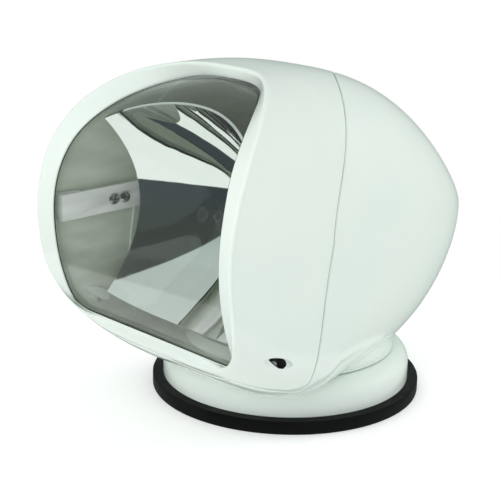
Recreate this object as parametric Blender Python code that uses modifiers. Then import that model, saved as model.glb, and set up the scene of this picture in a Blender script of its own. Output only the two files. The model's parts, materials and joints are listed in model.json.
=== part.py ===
"""Marine searchlight: a round deck base carries a panning head, inside which a lamp and its
reflector tilt behind a clear window that wraps over the front of the head.

Frame: metres, +Z up, the beam leaves towards -Y at rest. The origin is where the pan axis meets
the deck. Every piece stands in world coordinates and is parented to the empty of the axis that
it turns about.
"""
import math

import bmesh
import bpy
from mathutils import Matrix, Vector

# Clearances between neighbouring pieces
GAP = 0.0003
RUNNING_GAP = 0.0004
CUT_MARGIN = 0.001

# Deck gasket and base
GASKET_RADIUS = 0.090
GASKET_WIDTH = 0.020
GASKET_HEIGHT = 0.0087
SKIRT_SETBACK = 0.007
SHOULDER_RADIUS = 0.011
BASE_HEIGHT = 0.030
BASE_WALL = 0.003
PLATE_THICKNESS = 0.006
BASE_SCREW_MARGIN = 0.008
BASE_SCREW_COUNT = 3
BASE_SCREW_LENGTH = 0.0137
SCREW_SINK = 0.0007
BOSS_RADIUS = 0.0055
INSERT_CIRCLE = 0.045
INSERT_COUNT = 3
INSERT_RADIUS = 0.005
INSERT_BORE = 0.0025
INSERT_LENGTH = 0.012
INSERT_RECESS = 0.0004
GLAND_OFFSET = 0.043
GLAND_RADIUS = 0.008
GLAND_BORE = 0.004
GLAND_LENGTH = 0.016
GLAND_NUT_RADIUS = 0.0115
GLAND_NUT_HEIGHT = 0.004

# Hollow pan spindle and what turns on it
SPINDLE_RADIUS = 0.018
SPINDLE_BORE = 0.011
SPINDLE_PROUD = 0.0035
SPINDLE_FLANGE_RADIUS = 0.029
SPINDLE_FLANGE = 0.003
WASHER_RADIUS = 0.040
SEAL_RADIUS = 0.056
SEAL_WIDTH = 0.004
TURNTABLE_RADIUS = 0.063
TURNTABLE_THICKNESS = 0.004
HUB_RADIUS = 0.025
HUB_HEIGHT = 0.0065
SPINDLE_NUT_RADIUS = 0.0228
SPINDLE_NUT_HEIGHT = 0.006
TURNTABLE_SCREW_CIRCLE = 0.0595
TURNTABLE_SCREW_COUNT = 4

# Gears
MODULE = 0.0015
PRESSURE_ANGLE = math.radians(20)
BACKLASH = 0.0004
SUN_TEETH = 40
SECTOR_TEETH = 64
PINION_TEETH = 12
GEAR_WIDTH = 0.007
SECTOR_SPAN = math.radians(92)
SECTOR_RIM = 0.010
SECTOR_TO_PLATE = 0.0012
SECTOR_WEB_INSET = 0.0015
SECTOR_FOOT = 0.006

# Head shell: the tilt axis is also the axis of the curved front
TILT_Y = -0.0443
TILT_HEIGHT = 0.0965
FRONT_RADIUS = 0.0939
HEAD_HALF_WIDTH = 0.090
TAIL_Y = 0.1465
TAIL_HEIGHT = 0.078
BELLY_SAG = 0.0106
NOSE_HEIGHT = 0.020
NOSE_SHARE = 0.7614
SHELL_WALL = 0.0025
NECK_RADIUS = 0.072
NECK_BORE = 0.064
NECK_HEIGHT = 0.012
NECK_PROUD = 0.0004
FLOOR_OPENING = 0.057

# Joint between bezel and rear housing; below, it turns forward along the head's lower corner
SEAM_Y = -0.055
SEAM_CREST_Y = 0.045
SEAM_LEAN = 0.0085
SEAM_GAP = 0.0008
SEAM_GAP_ANGLE = math.radians(0.18)
LOBE_RADIUS = 0.009
LOBE_START = math.radians(42)
LOBE_END = math.radians(46)
LIP_SWEEP = math.radians(10)
LIP_BAND = 0.0045

# Window opening, measured on the curved front
OPENING_SIDE_MARGIN = 0.014
OPENING_TOP_MARGIN = 0.0034
OPENING_BOTTOM_MARGIN = 0.0065
WINDOW_LAP = 0.0042
WINDOW_THICKNESS = 0.0022
WINDOW_SEAL = 0.0008
WINDOW_SEAT_GAP = 0.0009

# Bezel screws, in the lower ends of the side panels
EAR_SCREW_SETBACK = 0.0432
EAR_SCREW_HEIGHT = 0.0294
EAR_RECESS_RADIUS = 0.0052
EAR_RECESS_DEPTH = 0.0013
EAR_SCREW_HEAD = 0.0008
EAR_SCREW_LENGTH = 0.009
TONGUE_THICKNESS = 0.004
TONGUE_HEIGHT = 0.008

# Reflector and lamp
FOCAL_LENGTH = 0.029
VERTEX_SETBACK = 0.0053
REFLECTOR_SIDE_MARGIN = 0.026
REFLECTOR_SWING_MARGIN = 0.0124
REFLECTOR_WALL = 0.0016
NECK_TUBE_RADIUS = 0.0155
LAMP_HOLE = 0.0125
HOLDER_RADIUS = 0.011
HOLDER_FLANGE_RADIUS = 0.015
HOLDER_FLANGE = 0.003
HOLDER_TAIL = 0.009
HOLDER_TAIL_RADIUS = 0.010
HOLDER_PROUD = 0.001
SOCKET_DEPTH = 0.010
BULB_RADIUS = 0.0055
BULB_LENGTH = 0.036
CLIP_HALF_SIZES = (0.0185, 0.011, 0.013, 0.004)
CLIP_THICKNESS = 0.0008

# Tilt frame, its pivots and the brackets that hold them
FRAME_SETBACK = 0.0173
FRAME_THICKNESS = 0.003
FRAME_HEIGHT = 0.032
ARM_MARGIN = 0.0315
PIN_RADIUS = 0.004
PIN_HEAD_RADIUS = 0.0065
PIN_HEAD = 0.0025
PIN_PROUD = 0.002
BUSH_RADIUS = 0.007
BUSH_FLANGE_RADIUS = 0.010
BUSH_FLANGE = 0.0015
BUSH_PROUD = 0.0015
BRACKET_MARGIN = 0.013
BRACKET_THICKNESS = 0.003
BRACKET_HEIGHT = 0.017
BRACKET_SETBACK = 0.0112
BRACKET_BEHIND_PIVOT = 0.0103
BRACKET_SCREW_AHEAD = (0.0417, 0.0327)
BRACKET_SCREW_LENGTH = 0.006
BRACKET_WALL_GAP = 0.0012

# Drives and electronics
PAN_MOTOR_RADIUS = 0.0125
PAN_MOTOR_LENGTH = 0.028
GEARBOX_RADIUS = 0.0145
GEARBOX_LENGTH = 0.011
TILT_MOTOR_RADIUS = 0.011
TILT_MOTOR_LENGTH = 0.030
SHAFT_RADIUS = 0.0025
SHAFT_SEAT = 0.0055
MOTOR_CRIMP = 0.001
MOTOR_BOSS = 0.0015
SHEET = 0.002
PAN_FOOT = 0.0075
PAN_BRACKET_HALF_WIDTH = 0.011
TILT_FOOT = 0.012
TILT_PLATE_X = -0.0415
PINION_TO_PLATE = 0.0022
BOARD_X = 0.038
BOARD_THICKNESS = 0.0016
BOARD_SIZE = (0.052, 0.058)
BOARD_STAND_OFF = 0.003
BOARD_FOOT = 0.008
BOARD_EDGE = 0.008
BOARD_Y = 0.014
BOARD_HEIGHT = 0.0454
RELAY_SIZE = (0.015, 0.012, 0.019)
RELAY_OFFSETS = (-0.008, 0.010)
RECEIVER_SIZE = (0.005, 0.018, 0.014)
RECEIVER_OFFSET = -0.005
CONNECTOR_SIZE = (0.009, 0.010, 0.016)
CONNECTOR_OFFSET = 0.015

# Small screws
SCREW_RADIUS = 0.0019
SCREW_HEAD_RADIUS = 0.0038
SCREW_HEAD = 0.0022

# Shape of the head's sections: powers of its rounded outlines
TOP_POWER_FRONT = 3.3
TOP_POWER_TAIL = 2.0
BOTTOM_POWER_FRONT = 5.0
BOTTOM_POWER_TAIL = 2.04
ROOF_CURVE = (2.24, 1.1)
BELLY_CURVE = (4.0, 1.36)
SIDE_CURVE = (1.27, 2.77)
NOSE_CURVE = 2.2
OPENING_POWERS = (3.0, 5.5)

# Facets
ROUND_STEPS = 32
INNER_STEPS = 22
BARREL_STEPS = 14
SMALL_STEPS = 10
SCREW_STEPS = 8
FLANK_STEPS = 2
SECTION_STEPS = 32
REAR_ROWS = (0.0, 0.1, 0.2, 0.32, 0.48, 0.64, 0.78, 0.9, 0.97)
BEZEL_ROWS = 4
LOBE_STEPS = (0.7,)
LIP_STEPS = (0.0, 0.25, 0.5, 0.75, 0.95)
REFLECTOR_STEPS = 10

# Places worked out from the sizes above
PLATE_TOP = PLATE_THICKNESS
GASKET_BORE = GASKET_RADIUS - GASKET_WIDTH
SKIRT_RADIUS = GASKET_RADIUS - SKIRT_SETBACK
SKIRT_BOTTOM = GASKET_HEIGHT + GAP
SKIRT_TOP = BASE_HEIGHT - SHOULDER_RADIUS
TOP_RADIUS = SKIRT_RADIUS - SHOULDER_RADIUS
BASE_SCREW_CIRCLE = GASKET_BORE - BASE_SCREW_MARGIN
HEAD_FLOOR = BASE_HEIGHT + 2 * GAP
TILT_Z = HEAD_FLOOR + TILT_HEIGHT
TAIL_Z = HEAD_FLOOR + TAIL_HEIGHT
HEAD_BELLY = HEAD_FLOOR - BELLY_SAG
NOSE_BOTTOM = HEAD_FLOOR + NOSE_HEIGHT
NOSE_DEPTH = NOSE_SHARE * FRONT_RADIUS
FRONT_DROP = (TILT_Z - NOSE_BOTTOM) / math.sqrt(1.0 - NOSE_SHARE ** 2)
OPENING_HALF_WIDTH = HEAD_HALF_WIDTH - OPENING_SIDE_MARGIN
OPENING_TOP = FRONT_RADIUS - OPENING_TOP_MARGIN
OPENING_BOTTOM = TILT_Z - NOSE_BOTTOM - OPENING_BOTTOM_MARGIN
LIP_Y = TILT_Y - NOSE_DEPTH + LIP_BAND
EAR_SCREW_Y = TILT_Y - FRONT_RADIUS + EAR_SCREW_SETBACK
EAR_SCREW_Z = HEAD_FLOOR + EAR_SCREW_HEIGHT
TURNTABLE_BOTTOM = HEAD_FLOOR + SHELL_WALL + GAP
TURNTABLE_TOP = TURNTABLE_BOTTOM + TURNTABLE_THICKNESS
HUB_TOP = TURNTABLE_TOP + HUB_HEIGHT
SUN_BOTTOM = HUB_TOP + GAP
SUN_TOP = SUN_BOTTOM + GEAR_WIDTH
SPINDLE_TOP = SUN_TOP + GAP + SPINDLE_NUT_HEIGHT + SPINDLE_PROUD
SUN_PITCH = MODULE * SUN_TEETH / 2
PINION_PITCH = MODULE * PINION_TEETH / 2
SECTOR_PITCH = MODULE * SECTOR_TEETH / 2
PAN_PINION_Y = SUN_PITCH + PINION_PITCH
TILT_PINION_Y = TILT_Y + SECTOR_PITCH + PINION_PITCH
SHELL_INNER_HALF_WIDTH = HEAD_HALF_WIDTH - SHELL_WALL
VERTEX_Y = TILT_Y + VERTEX_SETBACK
REFLECTOR_HALF_WIDTH = HEAD_HALF_WIDTH - REFLECTOR_SIDE_MARGIN
REFLECTOR_REACH = FRONT_RADIUS - REFLECTOR_SWING_MARGIN
FRAME_FRONT = TILT_Y + FRAME_SETBACK
FRAME_REAR = FRAME_FRONT + FRAME_THICKNESS
ARM_INNER = HEAD_HALF_WIDTH - ARM_MARGIN
ARM_OUTER = ARM_INNER + FRAME_THICKNESS
BRACKET_INNER = HEAD_HALF_WIDTH - BRACKET_MARGIN
BRACKET_OUTER = BRACKET_INNER + BRACKET_THICKNESS
BRACKET_FRONT = TILT_Y - FRONT_RADIUS + BRACKET_SETBACK
BRACKET_REAR = TILT_Y + BRACKET_BEHIND_PIVOT
SHEET_BOTTOM = TURNTABLE_TOP + GAP


# Collections, materials and axes

def new_collection(name):
    collection = bpy.data.collections.new(name)
    bpy.context.scene.collection.children.link(collection)
    return collection


def clear_scene():
    for obj in list(bpy.data.objects):
        bpy.data.objects.remove(obj, do_unlink=True)
    for collection in list(bpy.data.collections):
        bpy.data.collections.remove(collection)


clear_scene()
PARTS = new_collection("marine_searchlight")
TOOLS = new_collection("cutters")

FINISHES = {
    "white_gelcoat": ((0.86, 0.89, 0.87), 0.18, 0.0),
    "black_rubber": ((0.012, 0.012, 0.013), 0.65, 0.0),
    "grey_moulding": ((0.34, 0.36, 0.35), 0.45, 0.0),
    "black_moulding": ((0.03, 0.03, 0.032), 0.4, 0.0),
    "nylon": ((0.82, 0.80, 0.72), 0.4, 0.0),
    "mirror": ((0.93, 0.94, 0.94), 0.04, 1.0),
    "zinc_sheet": ((0.62, 0.63, 0.62), 0.35, 1.0),
    "stainless": ((0.60, 0.60, 0.59), 0.25, 1.0),
    "brass": ((0.72, 0.53, 0.22), 0.3, 1.0),
    "clear_window": ((0.92, 0.96, 0.94), 0.05, 0.0),
    "ceramic": ((0.85, 0.82, 0.76), 0.6, 0.0),
    "board_green": ((0.03, 0.18, 0.09), 0.4, 0.0),
}


def make_material(name, finish):
    colour, roughness, metallic = FINISHES[finish]
    material = bpy.data.materials.new(name + "_" + finish)
    material.use_nodes = True
    shader = material.node_tree.nodes["Principled BSDF"]
    shader.inputs["Base Color"].default_value = (*colour, 1.0)
    shader.inputs["Roughness"].default_value = roughness
    shader.inputs["Metallic"].default_value = metallic
    material.diffuse_color = (*colour, 1.0)
    return material


def make_axis(name, place):
    axis = bpy.data.objects.new(name, None)
    axis.location = place
    axis.empty_display_size = 0.02
    PARTS.objects.link(axis)
    return axis


def add_object(name, mesh, finish, axis=None):
    """A part if it has a finish, otherwise a tool that only cuts or joins."""
    obj = bpy.data.objects.new(name, mesh)
    if finish is None:
        TOOLS.objects.link(obj)
        obj.hide_render = True
        obj.display_type = "WIRE"
        return obj
    PARTS.objects.link(obj)
    mesh.materials.append(make_material(name, finish))
    if axis is not None:
        obj.parent = axis
        obj.matrix_parent_inverse = Matrix.Translation(axis.location).inverted()
    return obj


# Shapes

TURNS = {
    "Z": Matrix.Identity(4),
    "X": Matrix.Rotation(math.radians(90), 4, "Y"),
    "Y": Matrix.Rotation(math.radians(-90), 4, "X"),
}


def cylinder(name, radius, start, length, direction="Z", finish=None, axis=None, steps=SMALL_STEPS):
    """A cylinder that leaves the point start along +X, +Y or +Z."""
    mesh = bpy.data.meshes.new(name)
    shape = bmesh.new()
    bmesh.ops.create_cone(shape, cap_ends=True, segments=steps, radius1=radius, radius2=radius,
                          depth=length, matrix=Matrix.Translation((0, 0, length / 2)))
    shape.to_mesh(mesh)
    shape.free()
    mesh.shade_smooth()
    mesh.set_sharp_from_angle(angle=math.radians(35))
    obj = add_object(name, mesh, finish, axis)
    obj.matrix_basis = Matrix.Translation(start) @ TURNS[direction]
    return obj


def box(name, low, high, finish=None, axis=None, bevel=0.0):
    size = [high[i] - low[i] for i in range(3)]
    mesh = bpy.data.meshes.new(name)
    shape = bmesh.new()
    bmesh.ops.create_cube(shape, size=1.0, matrix=Matrix.Diagonal((*size, 1.0)))
    shape.to_mesh(mesh)
    shape.free()
    obj = add_object(name, mesh, finish, axis)
    obj.location = [(high[i] + low[i]) / 2 for i in range(3)]
    if bevel:
        rounding = obj.modifiers.new("rounded_edges", "BEVEL")
        rounding.width = bevel
        rounding.segments = 2
        rounding.limit_method = "ANGLE"
    return obj


def turned(name, profile, place=(0, 0, 0), direction="Z", finish=None, axis=None, steps=ROUND_STEPS,
           hollow=True):
    """A turned shape. The profile of (radius, height) runs down its outer side; a hollow one is
    a closed loop, a solid one starts and ends on the axis."""
    mesh = bpy.data.meshes.new(name)
    count = len(profile)
    edges = [(i, i + 1) for i in range(count - 1)]
    if hollow:
        edges.append((count - 1, 0))
    mesh.from_pydata([(radius, 0.0, height) for radius, height in profile], edges, [])
    obj = add_object(name, mesh, finish, axis)
    obj.matrix_basis = Matrix.Translation(place) @ TURNS[direction]
    screw = obj.modifiers.new("turning", "SCREW")
    screw.steps = steps
    screw.render_steps = steps
    screw.use_merge_vertices = True
    screw.merge_threshold = 0.00001
    screw.use_smooth_shade = True
    return obj


def ring(name, outer, inner, bottom, height, **options):
    top = bottom + height
    return turned(name, [(outer, top), (outer, bottom), (inner, bottom), (inner, top)], **options)


def flat_piece(name, outlines, low, high, direction="Z", finish=None, axis=None):
    """A flat outline, with any holes as further outlines, between two levels of its direction."""
    curve = bpy.data.curves.new(name, "CURVE")
    curve.dimensions = "2D"
    curve.fill_mode = "BOTH"
    curve.extrude = (high - low) / 2
    for outline in outlines:
        spline = curve.splines.new("POLY")
        spline.points.add(len(outline) - 1)
        for point, (u, v) in zip(spline.points, outline):
            point.co = (u, v, 0.0, 1.0)
        spline.use_cyclic_u = True
    guide = bpy.data.objects.new(name + "_outline", curve)
    TOOLS.objects.link(guide)
    bpy.context.view_layer.update()
    solid = guide.evaluated_get(bpy.context.evaluated_depsgraph_get())
    mesh = bpy.data.meshes.new_from_object(solid)
    bpy.data.objects.remove(guide, do_unlink=True)
    shape = bmesh.new()
    shape.from_mesh(mesh)
    bmesh.ops.remove_doubles(shape, verts=shape.verts, dist=0.000001)
    shape.to_mesh(mesh)
    shape.free()
    mesh.materials.clear()
    obj = add_object(name, mesh, finish, axis)
    level = Matrix.Translation((0, 0, (high + low) / 2))
    obj.matrix_basis = FLAT_TURNS[direction] @ level
    return obj


# A flat outline's (u, v) is (x, y) on Z pieces, (y, z) on X pieces and (x, z) on Y pieces
FLAT_TURNS = {
    "Z": Matrix.Identity(4),
    "X": Matrix(((0, 0, 1, 0), (1, 0, 0, 0), (0, 1, 0, 0), (0, 0, 0, 1))),
    "Y": Matrix(((1, 0, 0, 0), (0, 0, -1, 0), (0, 1, 0, 0), (0, 0, 0, 1))),
}


def circle(radius, centre=(0.0, 0.0), steps=SMALL_STEPS, turn=0.0):
    points = []
    for i in range(steps):
        angle = turn + math.tau * i / steps
        points.append((centre[0] + radius * math.cos(angle), centre[1] + radius * math.sin(angle)))
    return points


def arc(radius, start, end, steps, centre=(0.0, 0.0)):
    points = []
    for i in range(steps + 1):
        angle = start + (end - start) * i / steps
        points.append((centre[0] + radius * math.cos(angle), centre[1] + radius * math.sin(angle)))
    return points


def lofted(name, rows, closed, finish, axis=None, pole=None):
    """A surface through rows of points; a closed row joins its ends, a pole ends the last row."""
    count = len(rows[0])
    points = [point for row in rows for point in row]
    faces = []
    for j in range(len(rows) - 1):
        for i in range(count if closed else count - 1):
            k = (i + 1) % count
            faces.append((j * count + i, j * count + k, (j + 1) * count + k, (j + 1) * count + i))
    if pole is not None:
        last = (len(rows) - 1) * count
        points.append(pole)
        for i in range(count):
            faces.append((last + i, last + (i + 1) % count, len(points) - 1))
    mesh = bpy.data.meshes.new(name)
    mesh.from_pydata(points, [], faces)
    mesh.shade_smooth()
    return add_object(name, mesh, finish, axis)


def thicken(obj, thickness):
    wall = obj.modifiers.new("wall", "SOLIDIFY")
    wall.thickness = thickness
    wall.offset = -1.0
    wall.use_even_offset = True
    wall.use_rim = True


def combine(obj, tools, operation):
    for tool in tools:
        step = obj.modifiers.new(operation.lower(), "BOOLEAN")
        step.operation = operation
        step.solver = "EXACT"
        step.object = tool


def cut(obj, *tools):
    combine(obj, tools, "DIFFERENCE")


def join(obj, *tools):
    combine(obj, tools, "UNION")


def around(radius, count, first=0.0):
    """Places spread evenly round the pan axis."""
    return [(radius * math.cos(first + math.tau * i / count),
             radius * math.sin(first + math.tau * i / count)) for i in range(count)]


# Outer form of the head

def rounded(angle, power):
    """Point of a unit superellipse in the direction of an angle."""
    across, up = math.cos(angle), math.sin(angle)
    reach = (abs(across) ** power + abs(up) ** power) ** (-1.0 / power)
    return reach * across, reach * up


def blend(front, tail, amount):
    return front + (tail - front) * amount


def along(y):
    """0 at the tilt axis and in front of it, 1 at the tail."""
    return min(max((y - TILT_Y) / (TAIL_Y - TILT_Y), 0.0), 1.0)


def swell(amount, curve):
    return max(1.0 - amount ** curve[0], 0.0) ** (1.0 / curve[1])


def head_bottom(y):
    if y >= TILT_Y:
        return TAIL_Z - (TAIL_Z - HEAD_BELLY) * swell(along(y), BELLY_CURVE)
    forward = (TILT_Y - y) / NOSE_DEPTH
    return HEAD_BELLY + (NOSE_BOTTOM - HEAD_BELLY) * forward ** NOSE_CURVE


def head_point(angle, y):
    """Point of the head's outside at an angle round its section: 0 at +X, 90 degrees at the top."""
    amount = along(y)
    middle = blend(TILT_Z, TAIL_Z, amount)
    above = math.sin(angle) >= 0
    if above:
        power = blend(TOP_POWER_FRONT, TOP_POWER_TAIL, amount)
        height = TAIL_Z + (TILT_Z + FRONT_RADIUS - TAIL_Z) * swell(amount, ROOF_CURVE) - middle
    else:
        power = blend(BOTTOM_POWER_FRONT, BOTTOM_POWER_TAIL, amount ** 0.6)
        height = middle - head_bottom(y)
    across, up = rounded(angle, power)
    return Vector((head_half_width(y) * across, y, max(middle + height * up, HEAD_FLOOR + NECK_PROUD)))


def head_half_width(y):
    return HEAD_HALF_WIDTH * swell(along(y), SIDE_CURVE)


def front_y(z, inset=0.0):
    """The curved front: a circle above the tilt axis, a longer ellipse below it."""
    drop = FRONT_RADIUS if z > TILT_Z else FRONT_DROP
    height = min(abs(z - TILT_Z) / (drop - inset), 1.0)
    return TILT_Y - (FRONT_RADIUS - inset) * math.sqrt(1.0 - height ** 2)


def front_edge(angle):
    """Where the head's side, roof or floor meets the curved front."""
    y = TILT_Y - NOSE_DEPTH
    for _ in range(30):
        y = front_y(head_point(angle, y).z)
    return head_point(angle, y)


def opening_point(angle, lap=0.0, inset=0.0):
    """Edge of the window opening, made larger by a lap and moved in behind the front."""
    above = math.sin(angle) >= 0
    drop = FRONT_RADIUS if above else FRONT_DROP
    reach = math.asin((OPENING_TOP if above else OPENING_BOTTOM) / drop) + lap / drop
    across, up = rounded(angle, OPENING_POWERS[0] if above else OPENING_POWERS[1])
    height = math.sin(reach) * up
    y = TILT_Y - (FRONT_RADIUS - inset) * math.sqrt(max(1.0 - height ** 2, 0.0))
    return Vector(((OPENING_HALF_WIDTH + lap) * across, y, TILT_Z + (drop - inset) * height))


def rim_middle(angle):
    """Half-way across the rim between the window opening and the head's side."""
    middle = (opening_point(angle) + front_edge(angle)) / 2
    return Vector((middle.x, front_y(middle.z), middle.z))


def share(value, start, end):
    """How far a value lies between two others, from 0 to 1."""
    return min(max((value - start) / (end - start), 0.0), 1.0)


def seam_y(angle, side):
    """The bezel's edge (side -1) or the rear housing's (side 1) along their joint: swept back over
    the roof, upright down the sides, then forward along the lower corner, so that each side panel
    of the bezel ends in a rounded lobe and only a narrow band runs below the window."""
    rise = math.asin(math.sin(angle))
    gap = side * SEAM_GAP / 2
    if rise >= 0:
        return SEAM_Y + gap + (SEAM_CREST_Y - SEAM_Y) * (rise / math.radians(90)) ** 2
    dip = -rise - side * SEAM_GAP_ANGLE
    lean = SEAM_LEAN * (1.0 - (1.0 - share(dip, 0.0, LOBE_START)) ** 2)
    turn = LOBE_RADIUS * (1.0 - math.sqrt(1.0 - share(dip, LOBE_START, LOBE_END) ** 2))
    rest = 1.0 - share(dip, LOBE_END, LOBE_END + LIP_SWEEP)
    return blend(SEAM_Y - lean - turn, LIP_Y, math.sqrt(1.0 - rest ** 2)) + gap


def section_angles(side=None):
    """Angles round a section, with more of them where an edge of the joint turns forward. They fall
    from point to point, so that the lofted faces point out of the head."""
    angles = [math.tau * (i + 0.5) / SECTION_STEPS for i in range(SECTION_STEPS)]
    if side is not None:
        first, last = math.sin(LOBE_START), math.sin(LOBE_END + LIP_SWEEP)
        angles = [angle for angle in angles if not first < -math.sin(angle) < last]
        dips = [blend(LOBE_START, LOBE_END, step) for step in LOBE_STEPS]
        dips += [LOBE_END + LIP_SWEEP * (1.0 - math.sqrt(1.0 - step ** 2)) for step in LIP_STEPS]
        for dip in dips:
            edge = dip + side * SEAM_GAP_ANGLE
            angles += [math.tau - edge, math.pi + edge]
    return sorted(angles, reverse=True)


SECTION_ANGLES = section_angles()


# Base, fixed to the deck

def make_base():
    ring("mounting_gasket", GASKET_RADIUS, GASKET_BORE, 0.0, GASKET_HEIGHT, finish="black_rubber")
    shoulder = arc(SHOULDER_RADIUS, math.radians(90), 0.0, 4, (TOP_RADIUS, SKIRT_TOP))
    inner_shoulder = arc(SHOULDER_RADIUS - BASE_WALL, 0.0, math.radians(90), 2,
                         (TOP_RADIUS, SKIRT_TOP))
    profile = [(SPINDLE_RADIUS + GAP, BASE_HEIGHT), *shoulder, (SKIRT_RADIUS, SKIRT_BOTTOM),
               (GASKET_BORE + BASE_WALL, SKIRT_BOTTOM),
               (GASKET_BORE + BASE_WALL, SKIRT_BOTTOM + BASE_WALL),
               (SKIRT_RADIUS - BASE_WALL, SKIRT_BOTTOM + BASE_WALL), *inner_shoulder,
               (SPINDLE_RADIUS + GAP, BASE_HEIGHT - BASE_WALL)]
    housing = turned("base_housing", profile, finish="white_gelcoat")
    plate = cylinder("base_plate", GASKET_BORE - GAP, (0, 0, 0), PLATE_THICKNESS,
                     finish="grey_moulding", steps=ROUND_STEPS)
    head_bottom = SCREW_SINK
    head_top = head_bottom + SCREW_HEAD
    tip = head_top + BASE_SCREW_LENGTH
    boss_bottom = PLATE_TOP + GAP
    for i, (x, y) in enumerate(around(BASE_SCREW_CIRCLE, BASE_SCREW_COUNT)):
        join(housing, cylinder(f"boss_{i}", BOSS_RADIUS, (x, y, boss_bottom),
                               BASE_HEIGHT - BASE_WALL / 2 - boss_bottom))
        cut(housing, cylinder(f"boss_hole_{i}", SCREW_RADIUS + GAP, (x, y, 0), tip + GAP))
        cut(plate, cylinder(f"plate_hole_{i}", SCREW_RADIUS + GAP, (x, y, -CUT_MARGIN),
                            PLATE_THICKNESS + 2 * CUT_MARGIN),
            cylinder(f"plate_pocket_{i}", SCREW_HEAD_RADIUS + RUNNING_GAP, (x, y, -CUT_MARGIN),
                     head_top + GAP + CUT_MARGIN))
        turned(f"base_screw_{i + 1}",
               [(0, tip), (SCREW_RADIUS, tip), (SCREW_RADIUS, head_top),
                (SCREW_HEAD_RADIUS, head_top), (SCREW_HEAD_RADIUS, head_bottom), (0, head_bottom)],
               place=(x, y, 0), finish="stainless", steps=SCREW_STEPS, hollow=False)
    for i, (x, y) in enumerate(around(INSERT_CIRCLE, INSERT_COUNT, math.radians(30))):
        join(plate, cylinder(f"insert_boss_{i}", INSERT_RADIUS + BASE_WALL, (x, y, PLATE_TOP / 2),
                             INSERT_RECESS + INSERT_LENGTH + BASE_WALL / 2 - PLATE_TOP / 2))
        cut(plate, cylinder(f"insert_hole_{i}", INSERT_RADIUS + GAP, (x, y, -CUT_MARGIN),
                            CUT_MARGIN + INSERT_RECESS + INSERT_LENGTH + GAP))
        ring(f"deck_insert_{i + 1}", INSERT_RADIUS, INSERT_BORE, INSERT_RECESS, INSERT_LENGTH,
             place=(x, y, 0), finish="brass", steps=SMALL_STEPS)
    cut(plate, cylinder("gland_hole", GLAND_RADIUS + GAP, (0, GLAND_OFFSET, -CUT_MARGIN),
                        PLATE_THICKNESS + 2 * CUT_MARGIN, steps=BARREL_STEPS))
    ring("cable_gland", GLAND_RADIUS, GLAND_BORE, INSERT_RECESS, GLAND_LENGTH,
         place=(0, GLAND_OFFSET, 0), finish="black_moulding", steps=BARREL_STEPS)
    flat_piece("gland_nut", [circle(GLAND_NUT_RADIUS, (0, GLAND_OFFSET), 6),
                             circle(GLAND_RADIUS + GAP, (0, GLAND_OFFSET), BARREL_STEPS)],
               PLATE_TOP + GAP, PLATE_TOP + GAP + GLAND_NUT_HEIGHT, finish="black_moulding")
    flange_bottom = PLATE_TOP + GAP
    flange_top = flange_bottom + SPINDLE_FLANGE
    turned("pan_spindle",
           [(SPINDLE_RADIUS, SPINDLE_TOP), (SPINDLE_RADIUS, flange_top),
            (SPINDLE_FLANGE_RADIUS, flange_top), (SPINDLE_FLANGE_RADIUS, flange_bottom),
            (SPINDLE_BORE, flange_bottom), (SPINDLE_BORE, SPINDLE_TOP)],
           finish="grey_moulding", steps=INNER_STEPS)
    gear("pan_sun_gear", SUN_TEETH, SUN_BOTTOM, SUN_TOP, "Z", (0, 0), SPINDLE_RADIUS + GAP,
         finish="nylon", turn=tooth_gap_turn(SUN_TEETH, math.radians(90)))
    flat_piece("spindle_nut", [circle(SPINDLE_NUT_RADIUS, steps=6),
                               circle(SPINDLE_RADIUS + GAP, steps=INNER_STEPS)],
               SUN_TOP + GAP, SUN_TOP + GAP + SPINDLE_NUT_HEIGHT, finish="black_moulding")
    ring("thrust_washer", WASHER_RADIUS, SPINDLE_RADIUS + RUNNING_GAP, BASE_HEIGHT + GAP,
         TURNTABLE_BOTTOM - BASE_HEIGHT - 2 * GAP, finish="nylon", steps=INNER_STEPS)


# Gears, with involute teeth thinned for backlash

def involute(angle):
    return math.tan(angle) - angle


def tooth_gap_turn(teeth, direction):
    """Turns a gear so that a gap between two teeth faces a direction."""
    return direction + math.pi / teeth


def tooth_points(teeth, turn, first, count):
    """Outline of a run of teeth, each centred at turn plus its number of pitches."""
    pitch = MODULE * teeth / 2
    base = pitch * math.cos(PRESSURE_ANGLE)
    root = pitch - 1.2 * MODULE
    tip = pitch + 0.85 * MODULE
    half_tooth = (math.pi * MODULE / 2 - BACKLASH) / (2 * pitch) + involute(PRESSURE_ANGLE)
    start = max(base, root)
    radii = [start + (tip - start) * step / FLANK_STEPS for step in range(FLANK_STEPS + 1)]
    flank = [(radius, half_tooth - involute(math.acos(min(base / radius, 1.0)))) for radius in radii]
    if root < base:
        flank.insert(0, (root, flank[0][1]))
    points = []
    for number in range(first, first + count):
        middle = turn + math.tau * number / teeth
        for radius, half in flank:
            points.append((radius * math.cos(middle - half), radius * math.sin(middle - half)))
        for radius, half in reversed(flank):
            points.append((radius * math.cos(middle + half), radius * math.sin(middle + half)))
    return points


def gear(name, teeth, low, high, direction, centre, bore, finish, axis=None, turn=0.0):
    outline = [(centre[0] + u, centre[1] + v) for u, v in tooth_points(teeth, turn, 0, teeth)]
    outlines = [outline]
    if bore:
        outlines.append(circle(bore, centre, INNER_STEPS))
    return flat_piece(name, outlines, low, high, direction, finish, axis)


# Head, on the pan axis

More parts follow.
